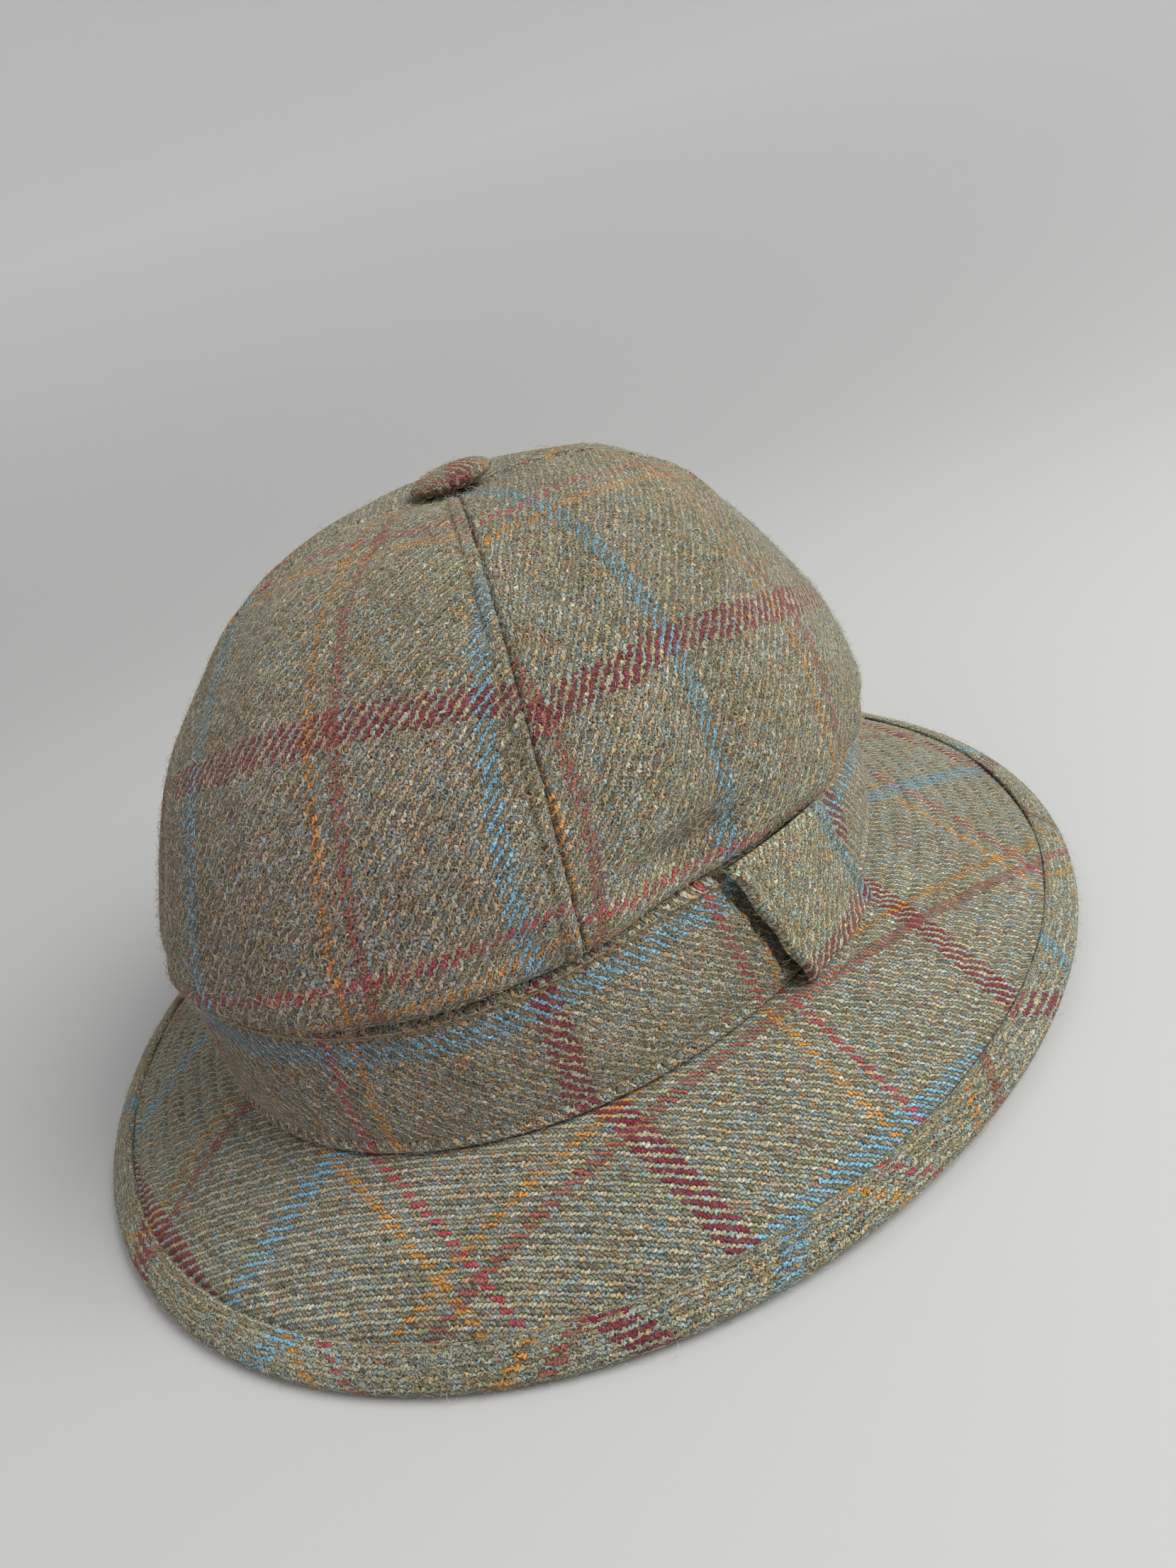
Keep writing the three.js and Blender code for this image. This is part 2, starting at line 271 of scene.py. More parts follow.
# %% [markdown]
# ## Four panels, cut and sewn
# Each panel is a wedge whose edges turn down into the seams. On the front and back
# panels the seam allowance is folded back under the cloth and stitched flat, which
# leaves a raised strip beside the seam and a second, shallower groove where the thread
# pulls it down. The grid is closer near the edges, because that is where the shape
# changes fastest.
#
# A flat wedge of cloth can't follow a dome without bending its grain. Treating the
# panel as part of a ball gives a fair picture of it: a place across and up the panel
# becomes a longitude and latitude, and those become a place on the flat cloth. Each
# panel was also laid on the cloth at its own lean, and near the band its grain has been
# pulled a little out of square.

# %% Crown panels
PANEL_COLUMNS, PANEL_CROWDING = 131, 1.9
SEAM_GROOVE = 3.8
PANEL_THICK = 2.2
SETTLE_REACH, SETTLE_EDGE = 75, 68
LEVELS = np.concatenate([np.linspace(0, 1, 6)[:-1], np.linspace(1, 2, 13)[:-1], np.linspace(2, 3, 76)])


def seam_relief(gap, along, stitched, room):
    """Height of the cloth beside a seam, from the distance to it.

    The edge rolls down as (1 - d / 1.3)^2. A stitched side adds a low strip beside the
    seam and, at 3.8 mm, the bell-shaped groove that the thread pulls down."""
    roll = -1.3 * np.clip(1 - gap / 1.3, 0, 1) ** 2
    if not stitched:
        return room * (roll + 0.16 * np.exp(-gap / 6) * np.sin(2 * np.pi * along / 9.0 + 1.0))
    strip = 0.30 * soft_step(gap, 0.4, 1.3) * (1 - soft_step(gap, 2.5, 3.4))
    groove = -0.85 * bell(gap - SEAM_GROOVE, 0.50)
    return room * (roll + strip + groove)


def ball_to_flat(across, climb, radius_across, radius_up):
    """Longitude and latitude on a ball, unrolled along the panel's middle line:
    u = R asin(cos lat sin lon), v = R atan2(sin lat, cos lat cos lon)."""
    u = radius_across * np.arcsin(np.cos(climb) * np.sin(across))
    v = radius_up * np.arctan2(np.sin(climb), np.cos(climb) * np.cos(across))
    return u, v


def settled(cloth, x, along, sag, swing):
    """The cloth low on a panel, where making up has pulled its grain out of square.

    With q = clip(along / 75, 0, 1), the pull fades as f = 1 - q^2 (3 - 2q). The lines
    that go round drop by f sag exp(-((x -+ 68) / 45)^2) beside each edge, and the lines
    that climb swing aside by the integral of f, 2 (1/2 - q + q^3 - q^4 / 2)."""
    q = np.clip(along / SETTLE_REACH, 0, 1)
    drop = sag[0] * bell(x + SETTLE_EDGE, 45) + sag[1] * bell(x - SETTLE_EDGE, 45)
    aside = swing * (1 - 2 * q + 2 * q ** 3 - q ** 4)
    return cloth + np.stack([aside + 0 * x, drop * (1 - soft_step(q, 0, 1))], -1)


def crown_panel(name, middle, lean, stretch, shift, sag, swing, stitched, seed):
    """One wedge: surface points, seams and unevenness raised along the normals, and its cloth."""
    s = np.linspace(-1, 1, PANEL_COLUMNS)
    share = np.sign(s) * (1 - (1 - np.abs(s)) ** PANEL_CROWDING) / 2
    t = np.radians(middle) + share[:, None] * (np.pi / 2 - 0.0006)
    points = crown_surface(t, LEVELS[None, :])
    row_step = np.linalg.norm(np.diff(points, axis=0), axis=-1)
    width = row_step.sum(0)
    from_left = np.concatenate([np.zeros((1, len(LEVELS))), np.cumsum(row_step, 0)])
    up_step = np.linalg.norm(np.diff(points, axis=1), axis=-1)
    along = np.concatenate([np.zeros((PANEL_COLUMNS, 1)), np.cumsum(up_step, 1)], 1)
    swell = np.searchsorted(LEVELS, 1.0)
    along = along - along[:, swell:swell + 1]
    loose = soft_step(LEVELS, 1.0, 1.5)[None, :]
    room = loose * np.clip(width / 24, 0, 1)[None, :] ** 1.5
    x = from_left - width / 2
    relief = seam_relief(from_left, along, stitched, room)
    relief = relief + seam_relief(width[None, :] - from_left, along, stitched, room)
    middle_room = loose * soft_step(width, 15, 70)[None, :]
    relief = relief + middle_room * 0.42 * lumps(x, along, 34, seed)
    gathers = np.exp(-np.clip(along - 6, 0, None) / 9) * soft_step(along, 2, 9)
    relief = relief + loose * gathers * 0.55 * lumps(x, along * 0.3, 17, seed + 40)
    normals = surface_normals(points)
    outer = points + normals * relief[..., None]
    inner = points - normals * (PANEL_THICK - 0.25 * relief[..., None] * loose[..., None])
    base = np.searchsorted(LEVELS, 2.0)
    girth = width[base]
    across = (from_left[:, base] / girth - 0.5)[:, None] * np.pi / 2
    reach = along[:, -1:] + 2
    climb = np.pi / 2 * along / reach
    mid_reach = reach[PANEL_COLUMNS // 2, 0]
    u, v = ball_to_flat(across, climb, girth / (np.pi / 2), mid_reach / (np.pi / 2))
    warp, weft = np.radians(lean[0]), np.radians(lean[1])
    cloth = np.stack([stretch[0] * (np.cos(warp) * u - np.sin(warp) * v) + shift[0],
                      stretch[1] * (np.sin(weft) * u + np.cos(weft) * v) + shift[1]], -1)
    cloth = settled(cloth, x, along, sag, swing)
    piece = two_faced_piece(name, outer, inner, cloth)
    return piece, face_of(outer, cloth, from_left=from_left, width=width, shown=slice(swell, None))


panels = {}
for name, middle, *cut in [
        ("crown_front", -90, (-16.8, -15.8), (1.107, 0.877), (-76.4, -55.2), (-7, 10), 8.5, True, 3),
        ("crown_left", 0, (18.1, 13.8), (1.067, 0.957), (50.2, -47.1), (9, 0), -4.0, False, 5),
        ("crown_back", 90, (-15, -14), (1.08, 0.92), (-61.0, -50.0), (-3, 5), 4.0, True, 8),
        ("crown_right", 180, (16, 14), (1.07, 0.94), (49.0, -52.0), (5, 0), -3.0, False, 11)]:
    panels[name] = crown_panel(name + "_cloth", CROWN_TURN + middle, *cut)
    print(name, "faces:", len(panels[name][0].data.polygons))

# %% [markdown]
# ## The covered button
# The panels' tips are hidden by a button: a low dome covered with a gathered disc of
# the same cloth. A profile is turned about the crown's top, and shallow pleats run in
# from its rim. It leans with the crown.

# %% Button
BUTTON_RADIUS, BUTTON_HEIGHT = 10.4, 3.9
BUTTON_RIM, BUTTON_FOOT = 1.0, -1.6
BUTTON_TILT = (0.080, 0.045)


def button_piece():
    """Radius and height follow a half superellipse; pleats add a small cosine near the rim."""
    turns = np.linspace(0, 2 * np.pi, 97)[:-1, None]
    turn = np.linspace(-0.30 * np.pi, 0.5 * np.pi, 30)[None, :-1]
    shape = np.sign(np.cos(turn)) * np.abs(np.cos(turn)) ** 0.72
    dome = np.abs(np.sin(turn)) ** 1.15 * (BUTTON_HEIGHT - BUTTON_RIM)
    height = np.where(turn > 0, dome, np.sin(turn) * 2.6)
    pleat = 0.22 * np.cos(11 * turns + 0.6) * bell(turn - 0.1, 0.45)
    r = BUTTON_RADIUS * shape + pleat
    x, y = r * np.cos(turns), r * np.sin(turns)
    grid = np.stack([x, y, BUTTON_RIM + height + x * BUTTON_TILT[0] + y * BUTTON_TILT[1]], -1)
    local = np.concatenate([grid.reshape(-1, 3), [[0, 0, BUTTON_HEIGHT], [0, 0, BUTTON_FOOT]]])
    rows, cols = r.shape
    i, j = grid_corners(rows, cols - 1)
    k, after = np.arange(rows) * cols, (np.arange(rows) + 1) % rows * cols
    top = np.full(rows, rows * cols)
    faces = [(i % rows) * cols + j, np.stack([k + cols - 1, after + cols - 1, top], -1),
             np.stack([after, k, top + 1], -1)]
    stretched = local[:, :2] * (1 + 0.25 * np.clip(1 - local[:, 2:] / BUTTON_HEIGHT, 0, 1))
    c, s = np.cos(np.radians(60)), np.sin(np.radians(60))
    flat = stretched @ np.array([[c, s], [-s, c]]) + [36.5, -3.0]
    corner_of = np.concatenate([part.ravel() for part in faces])
    return finish_mesh("crown_button_cloth", local + APEX, faces, flat[corner_of]), grid + APEX


button, button_points = button_piece()
print("button faces:", len(button.data.polygons))

# %% [markdown]
# ## The band
# The band is one strip of cloth folded in at the top and bottom. The folds make a
# rounded ridge along each edge, held by a row of stitches that pulls a groove just
# below it, and between the two rows the cloth stands out a little. Its cloth was cut
# with the warp going round the head, so one blue line runs all the way round.

# %% Band
BAND_BASE = SEAM_HEIGHT + FIT_GAP
BAND_TOP = SEAM_HEIGHT + BAND_HEIGHT - 1.3
BAND_ROUND = 400
BAND_TOP_GROOVE, BAND_FOOT_GROOVE = 3.1, 3.8
LOOP_WIDTH, LOOP_TOP_ANGLE, LOOP_FOOT_ANGLE = 35.5, -14.0, -5.0
LOOP_ARC = float(arc_at(np.radians((LOOP_TOP_ANGLE + LOOP_FOOT_ANGLE) / 2)))
loop_drift = arc_at(np.radians(LOOP_FOOT_ANGLE)) - arc_at(np.radians(LOOP_TOP_ANGLE))
LOOP_SLANT = float(loop_drift) / (BAND_HEIGHT + 2)
band_columns = np.union1d(np.linspace(-np.pi, np.pi, BAND_ROUND + 1)[:-1],
                          np.radians(np.linspace(-26, -13, 45)))


def band_face(height, arc, tall):
    """How far the band's face stands out at a height above its base, in mm.

    A sine puff between the stitch rows, a half-round ridge at either edge, a
    bell-shaped groove under each row of stitches, deeper where a stitch goes in, and a
    pressed hollow behind the keeper loop, beside which the cloth stands up."""
    puff = 1.25 * np.sin(np.pi * np.clip((height - 3) / (tall - 6), 0, 1)) ** 0.7
    top_ridge = 0.75 * bell(height - (tall - 1.6), 1.3)
    foot_ridge = 0.75 * bell(height - 1.7, 1.3)
    pull = 1 + 0.3 * np.cos(2 * np.pi * arc / 3.2)
    rows = bell(height - (tall - BAND_TOP_GROOVE), 0.5) + bell(height - BAND_FOOT_GROOVE, 0.6)
    ease = 0.30 * lumps(arc, height, 26, 21) * np.sin(np.pi * np.clip(height / tall, 0, 1))
    beside = arc - LOOP_ARC + LOOP_SLANT * (height - tall / 2)
    ragged = 0.35 * np.sin(height / 1.9) + 0.25 * np.sin(height / 0.83 + 1)
    inside = np.abs(beside) - LOOP_WIDTH / 2 + ragged
    kept = soft_step(height, 2.5, 5) * (1 - soft_step(height, tall - 1.5, tall))
    stand = 1.7 * bell(np.clip(-beside - LOOP_WIDTH / 2 - 2.5, 0, None), 9) * (beside < 0)
    pressed = (2.3 + stand) * (1 - soft_step(inside, 1.2, 1.9))
    return -0.75 + puff + top_ridge + foot_ridge - 0.55 * pull * rows + ease + kept * (stand - pressed)


def band_piece():
    """The face swept round the oval, rolled over at the top and bottom to a plain back."""
    ends = np.append(band_columns, np.pi)[:, None]
    tall = BAND_TOP - BAND_BASE + band_rise(ends)
    foot = np.linspace(0.25, 6, 16)[None, :-1] + 0 * tall
    middle = 6 + (tall - 12.5) * np.linspace(0, 1, 14)[None, :-1]
    head = tall - 6.5 + np.linspace(0, 6.2, 18)[None, :]
    height = np.concatenate([foot, middle, head], 1)
    arcs = arc_at(ends)
    face = band_face(height, arcs, tall)
    roll = 1.1 * np.clip(1 - height / 1.1, 0, 1) ** 2 + 1.2 * np.clip(1 - (tall - height) / 1.2, 0, 1) ** 2
    front = on_oval(ends, face - roll, BAND_BASE + height)[:-1]
    back_height = tall * np.array([[1.0, 0.55, 0.0]])
    back = on_oval(ends, -2.5 + 0 * back_height, BAND_BASE + back_height)[:-1]
    points = np.concatenate([front, back], 1)
    heights = np.concatenate([height, back_height, height[:, :1]], 1)
    stretched = heights - (tall - BAND_TOP + BAND_BASE)
    skew = 0.25 * bell(ends + np.radians(22), np.radians(14))
    cloth = np.stack([stretched - 27.8, -arcs - 7.0 + skew * (20 - heights)], -1)
    piece = sewn_piece("hat_band_cloth", points, cloth, goes_round=True)
    return piece, face_of(front, cloth[:-1, :height.shape[1]])


band, band_edge = band_piece()
print("band faces:", len(band.data.polygons), "height: %.1f mm" % (BAND_TOP - BAND_BASE))

# %% [markdown]
# ## The keeper loop
# A folded strip passes over the band on the wearer's left. It comes out from under the
# crown's lip, and its foot is caught down to the bottom fold of the band. Both long
# edges are folds, rounded and a little thicker than the middle, and the front one
# stands a little off the band, over a narrow dark gap.

# %% Keeper loop
LOOP_GROOVE = 4.6


def loop_piece():
    """A strip between two angles that drift as it climbs, bowed clear of the band."""
    rows, cols = 61, 64
    s = np.linspace(-1, 1, rows)
    across = (np.sign(s) * (1 - (1 - np.abs(s)) ** 1.5))[:, None]
    up = np.linspace(0, 1, cols)[None, :]
    middle = np.radians(LOOP_FOOT_ANGLE + (LOOP_TOP_ANGLE - LOOP_FOOT_ANGLE) * up)
    speed = np.hypot(HALF_WIDTH * np.sin(middle), HALF_LENGTH * np.cos(middle))
    t = middle + across * LOOP_WIDTH / 2 / speed
    low = SEAM_HEIGHT + 1.2
    high = SEAM_HEIGHT + BAND_HEIGHT + band_rise(t) + 0.2
    bow = 1.2 * (1 - 0.60 * across) * (0.60 + 0.40 * np.sin(np.pi * up) ** 0.6)
    near = 0.8 + bow + 1.6 * (1 - up) ** 3
    z = low + (high - low) * up
    edge = LOOP_WIDTH / 2 * (1 - np.abs(across))
    fold = 0.45 * bell(edge - 2.0, 1.3) - 0.40 * bell(edge - LOOP_GROOVE, 0.6)
    rim_roll = 1.5 * np.clip(1 - edge / 1.5, 0, 1) ** 2
    ease = 0.25 * lumps(across * 16, z, 19, 33)
    t = t + 0.004 * np.sin(z / 2.3) * (across < -0.9)
    tuck = np.where(up > 0.9, (up - 0.9) * 9, 0)
    hem = 1.4 * np.clip(1 - up / 0.06, 0, 1) ** 2
    outer = on_oval(t, near + 2.5 + fold + ease - rim_roll - tuck - hem, z - 0.8 * (1 - up))
    inner = on_oval(t, near + 1.0 + 0 * across, z)
    cloth = np.stack([across * LOOP_WIDTH / 2 - 14.0 + 0 * up, (z - low) - 3.4 + 0 * t], -1)
    piece = two_faced_piece("band_loop_cloth", outer, inner, cloth)
    return piece, face_of(outer, cloth, reach=(across[:, 0] + 1) * LOOP_WIDTH / 2)


loop, loop_edge = loop_piece()
print("loop faces:", len(loop.data.polygons))

# %% [markdown]
# ## The stitched brim
# The brim is two layers of tweed with canvas between, quilted together by rings of
# machine stitches a few millimetres apart. Every ring pulls a groove, and the cloth
# puffs between rings. It slopes down and ends inside the binding.
#
# Both layers were cut flat, so the weave crosses the whole brim in straight lines. The
# flat place of a point is found by laying its distance from the seam out along the
# oval's normal.

# %% Brim
RING_PITCH = 6.1
RINGS = 8
BRIM_ROUND = 420
BRIM_LEAN = 23.0
BRIM_THICK = 2.6
EDGE_GROWTH = 0.45
UPPER_CLOTH, LOWER_CLOTH = (-46.0, 46.0), (-15.0, 63.0)
UPPER_SEED, LOWER_SEED = 51, 52


def brim_width(t):
    """Cloth width of the brim: 51 mm at the sides, more at the back, less in front."""
    return 51.0 + 7.5 * np.sin(t)


def brim_drop(t):
    """Edge height below the seam: 22 mm, with the front and back a little lower."""
    return 22.0 - 1.6 * np.cos(2 * t)


def brim_reach(t):
    return np.sqrt(brim_width(t) ** 2 - brim_drop(t) ** 2)


def brim_fall(s):
    """Share of the drop reached at s: three quarters even, one quarter as s squared."""
    return 0.75 * s + 0.25 * s * s


def quilting(distance, arc, seed):
    """Puff |sin|-shaped between rings and a bell-shaped groove at each, pulled at stitches."""
    phase = distance / RING_PITCH
    near_ring = (phase - np.round(phase)) * RING_PITCH
    ending = soft_step(distance, RING_PITCH * (RINGS + 0.1), RING_PITCH * (RINGS + 0.6))
    inside = soft_step(distance, 1.0, 3.0) * (1 - ending)
    pull = 1 + 0.35 * np.cos(2 * np.pi * arc / 3.4 + 1.7 * np.round(phase))
    puff = 0.50 * np.abs(np.sin(np.pi * phase)) ** 0.7
    uneven = 0.22 * lumps(arc, distance, 30, seed)
    return inside * (puff - 0.42 * pull * bell(near_ring, 0.6)) + uneven


def brim_section(t, s, depth):
    """A point of the brim at share s of its width, depth below its top face."""
    off, z = brim_reach(t) * s, SEAM_HEIGHT - brim_drop(t) * brim_fall(s)
    slope = np.arctan(brim_drop(t) * (0.75 + 0.5 * s) / brim_reach(t))
    return on_oval(t, off - depth * np.sin(slope), z - depth * np.cos(slope))


def flat_cloth(t, distance, shift):
    """Oval point plus distance along its normal, turned by the brim's lean on the cloth."""
    p = on_oval(t, distance, 0.0)
    c, s = np.cos(np.radians(BRIM_LEAN)), np.sin(np.radians(BRIM_LEAN))
    return p[..., :2] @ np.array([[c, s], [-s, c]]) + shift


def brim_piece():
    """Top face outwards from the seat under the crown, over the edge, and back below."""
    t = np.linspace(-np.pi, np.pi, BRIM_ROUND + 1)[:-1, None]
    ends = np.append(t[:, 0], np.pi)[:, None]
    s_top = np.linspace(0, 1, 74)[None, :]
    s_low = np.linspace(1, 0, 24)[None, :]
    seat = np.array([[WALL_OFF - 2.2]])
    arc = arc_at(t)
    puffed = quilting(s_top * brim_width(t), arc * (1 + s_top * EDGE_GROWTH), UPPER_SEED)
    quieter = quilting(s_low * brim_width(t), arc * (1 + s_low * EDGE_GROWTH), LOWER_SEED) * 0.6
    top, low = brim_section(t, s_top, -puffed), brim_section(t, s_low, BRIM_THICK + quieter)
    inner_top = on_oval(t, seat, SEAM_HEIGHT + 0 * t)
    inner_low = on_oval(t, seat, SEAM_HEIGHT - BRIM_THICK + 0 * t)
    points = np.concatenate([inner_low, low[:, ::-1], top[:, ::-1], inner_top], 1)
    upper = flat_cloth(ends, s_top * brim_width(ends), UPPER_CLOTH)
    lower = flat_cloth(ends, s_low * brim_width(ends), LOWER_CLOTH)
    edge_top, edge_low = (flat_cloth(ends, seat, shift) for shift in (UPPER_CLOTH, LOWER_CLOTH))
    cloth = np.concatenate([edge_low, lower[:, ::-1], upper[:, ::-1], edge_top, edge_low], 1)
    return sewn_piece("brim_cloth", points, cloth, goes_round=True), face_of(top, upper[:-1])


brim, brim_edge = brim_piece()
print("brim faces:", len(brim.data.polygons), "rings of stitches:", RINGS)

# %% [markdown]
# ## The binding
# A strip cut across the weave is folded round the brim's edge and stitched through both
# sides. Cut that way it stretches round the curve without pleats, and the check runs
# slantwise on it. Where the hat rests, the binding is pressed flat.

# %% Binding
BINDING_REACH = 7.4
BINDING_ROUND = 400
BINDING_INSIDE, BINDING_OUTSIDE = 1.62, 2.72


def binding_piece():
    """A U-shaped section round the brim's edge: out along the bottom, round the fold, and
    back along the top, puffed a little, with a second, inner skin just clear of the brim."""
    t = np.linspace(-np.pi, np.pi, BINDING_ROUND + 1)[:-1, None]
    slope = np.arctan(brim_drop(t) * 1.25 / brim_reach(t))
    turn = np.linspace(-np.pi / 2, np.pi / 2, 13)[None, 1:-1]
    run = np.linspace(0, 1, 16)[None, :]
    arc = arc_at(t) * (1 + EDGE_GROWTH)
    puff = 0.28 * np.sin(np.pi * run) ** 0.6 + 0.10 * lumps(arc, run * 9, 15, 61)
    puff = puff - 0.30 * bell(run - 0.80, 0.06) * (1 + 0.3 * np.cos(2 * np.pi * arc / 3.4))
    tip = np.clip(1 - (1 - run) / 0.09, 0, 1) ** 2
    flank = -BINDING_REACH + (BINDING_REACH - 0.2) * (1 - run)
    stand = BINDING_OUTSIDE + puff - 0.95 * tip
    nose = -0.2 + 2.3 * np.cos(turn), BINDING_OUTSIDE * np.sin(turn) + 0 * t
    back = np.array([[-BINDING_REACH + 0.1, -4.0, 0.35]])
    skin = BINDING_INSIDE * np.repeat([[1, -1]], 3, 1) + 0 * t
    u = np.concatenate([flank[:, ::-1], nose[0], flank, back, back[:, ::-1]], 1) + 0 * t
    v = np.concatenate([-stand[:, ::-1], nose[1], stand, skin], 1)
    mid_off = brim_reach(t) - 1.3 * np.sin(slope)
    mid_z = SEAM_HEIGHT - brim_drop(t) - 1.3 * np.cos(slope)
    z = mid_z - u * np.sin(slope) + v * np.cos(slope)
    z = np.where(v < 0, np.maximum(z, 0.0), z)
    points = on_oval(t, mid_off + u * np.cos(slope) + v * np.sin(slope), z)
    step = np.hypot(np.diff(u, axis=1), np.diff(v, axis=1)).mean(0)
    way = np.concatenate([[0], np.cumsum(step), [step.sum() + 1]])[None, :]
    arcs = arc_at(np.append(t[:, 0], np.pi))[:, None] * (1 + EDGE_GROWTH)
    c = np.sqrt(0.5)
    cloth = np.stack([c * (arcs - way), c * (arcs + way)], -1)
    piece = sewn_piece("brim_binding_cloth", points, cloth, goes_round=True)
    first, last = run.size, 2 * run.size + turn.size
    return piece, face_of(points[:, :last], cloth[:-1, :last], last=last, shown=slice(first, None))


binding, binding_edge = binding_piece()
print("binding faces:", len(binding.data.polygons))

# %% [markdown]
# ## Tubes for threads and hairs
# A stitch and a hair are both a thin closed tube along a short path. A ring of points
# is set round each station of the path, across its direction, and the first and last
# stations stay single points, so the ends close. All the tubes of one kind are made in
# one go, as rows of the same small array.

# %% Tubes along many paths


def many_tubes(name, path, radius, sides, cloth):
    """One mesh of closed tubes: path is (tubes, stations, 3) in mm, and a tube keeps one cloth place.

    A ring's points are p + r (cos a e1 + sin a e2), with e1 and e2 across the direction."""
    tubes, stations = path.shape[:2]
    ahead = np.gradient(path, axis=1)
    ahead /= np.maximum(np.linalg.norm(ahead, axis=-1, keepdims=True), 1e-9)
    e1 = np.cross(ahead, np.array([0.36, 0.48, 0.80]))
    e1 /= np.maximum(np.linalg.norm(e1, axis=-1, keepdims=True), 1e-9)
    e2 = np.cross(ahead, e1)
    turn = 2 * np.pi * np.arange(sides) / sides
    across = np.cos(turn)[:, None] * e1[:, 1:-1, None] + np.sin(turn)[:, None] * e2[:, 1:-1, None]
    rings = path[:, 1:-1, None] + radius[:, 1:-1, None, None] * across
    points = np.concatenate([path[:, :1], rings.reshape(tubes, -1, 3), path[:, -1:]], 1)
    k, after = np.arange(sides), (np.arange(sides) + 1) % sides
    last = (stations - 3) * sides
    foot = np.stack([0 * k, 1 + after, 1 + k], -1)
    tip = np.stack([1 + last + k, 1 + last + after, 0 * k + points.shape[1] - 1], -1)
    step = 1 + np.arange(stations - 3)[:, None] * sides
    sheet = np.stack([step + k, step + after, step + sides + after, step + sides + k], -1).reshape(-1, 4)
    start = (np.arange(tubes) * points.shape[1])[:, None, None]
    ends = (start + np.concatenate([foot, tip])).reshape(-1, 3)
    quads = (start + sheet).reshape(-1, 4)
    corners = [np.repeat(cloth, len(sheet) * 4, 0), np.repeat(cloth, 2 * sides * 3, 0)]
    return finish_mesh(name, points, [quads, ends], np.concatenate(corners))


def stitch_paths(line, normals, pitch, length, bite, proud):
    """Stitches along a line of points: each dives in by bite at its ends and stands proud between."""
    run = np.concatenate([[0], np.cumsum(np.linalg.norm(np.diff(line, axis=0), axis=1))])
    start = np.arange(pitch * 0.4, run[-1] - length, pitch)
    place = start[:, None] + length * np.array([0, 0.10, 0.5, 0.90, 1.0])
    at, n = (np.stack([np.interp(place, run, column) for column in grid.T], -1) for grid in (line, normals))
    return at + n * np.array([-bite, 0.4 * proud, proud, 0.4 * proud, -bite])[:, None]


print("tube helpers ready")

# %% [markdown]
# ## Where the machine has sewn
# Four kinds of stitching show. The crown's seams are stitched down beside the seam,
# the band has a double row under its top fold and one over its bottom fold, the loop
# is caught along both edges, and rings of pale thread run round the brim. The threads
# lie in the grooves that the surfaces already have.

# %% Stitches
THREAD = 0.13


def seam_line(edge, gap, from_right):
    """Points and normals that keep one distance from a panel's edge, from the band to the top."""
    turn = -1 if from_right else 1
    reach = edge["width"][None, :] - edge["from_left"] if from_right else edge["from_left"]
    reach, outer, normals = reach[::turn], edge["outer"][::turn], edge["normals"][::turn]
    column = np.arange(reach.shape[1])
    row = np.clip((reach < gap).sum(0), 1, len(reach) - 1)
    before, beyond = reach[row - 1, column], reach[row, column]
    share = ((gap - before) / (beyond - before))[:, None]
    keep = (edge["width"] > 4 * gap) & (LEVELS > 1.35)
    point = outer[row - 1, column] * (1 - share) + outer[row, column] * share
    return point[keep], normals[row, column][keep]


def ring_line(distance):
    """The brim's top face at one distance from the seam, and its normals."""
    t = np.linspace(-np.pi, np.pi, 1441)[:, None]
    near = np.stack([distance - 0.4, distance, distance + 0.4])[None, :]
    share = near / brim_width(t)
    puffed = quilting(near + 0 * t, arc_at(t) * (1 + share * EDGE_GROWTH), UPPER_SEED)
    face = brim_section(t, share, -puffed)
    return face[:, 1], surface_normals(face)[:, 1]


paths = {"crown": [
    stitch_paths(*seam_line(panels[panel][1], SEAM_GROOVE, from_right), 3.2, 2.5, 0.45, 0.02)
    for panel in ("crown_front", "crown_back") for from_right in (False, True)]}

t_round = np.append(band_columns, np.pi)
tall_round = BAND_TOP - BAND_BASE + band_rise(t_round)
paths["band"] = []
for height, pitch in ((tall_round - 1.5, 2.6), (tall_round - BAND_TOP_GROOVE, 2.6),
                      (BAND_FOOT_GROOVE + 0 * tall_round, 3.4)):
    near = height[:, None] + np.array([-0.3, 0.0, 0.3])
    face = band_face(near, arc_at(t_round)[:, None], tall_round[:, None])
    line = on_oval(t_round[:, None], face, BAND_BASE + near)[:, 1]
    paths["band"].append(stitch_paths(line, outward(t_round) @ np.eye(2, 3), pitch, pitch * 0.78, 0.4, 0.12))

paths["loop"] = []
for inset in (LOOP_GROOVE, LOOP_WIDTH - LOOP_GROOVE):
    near_edge = np.interp(inset, loop_edge["reach"], np.arange(len(loop_edge["reach"])))
    row, share = int(near_edge), near_edge % 1
    line = loop_edge["outer"][row] * (1 - share) + loop_edge["outer"][row + 1] * share
    paths["loop"].append(stitch_paths(line, loop_edge["normals"][row], 3.0, 2.3, 0.4, 0.10))

paths["brim"] = []
for distance in RING_PITCH * np.arange(1, RINGS + 1):
    ring = stitch_paths(*ring_line(distance), 5.0, 4.0, 0.45, 0.30)
    middle = np.arctan2(ring[:, 2, 1] / HALF_LENGTH, ring[:, 2, 0] / HALF_WIDTH)
    paths["brim"].append(ring[distance < brim_width(middle) - BINDING_REACH - 1.0])

row_at = binding_edge["last"] - 4
line, lifted = (np.concatenate([grid[:, row_at], grid[:1, row_at]])
                for grid in (binding_edge["outer"], binding_edge["normals"]))
paths["binding"] = [stitch_paths(line, lifted, 3.4, 2.5, 0.4, 0.05)]

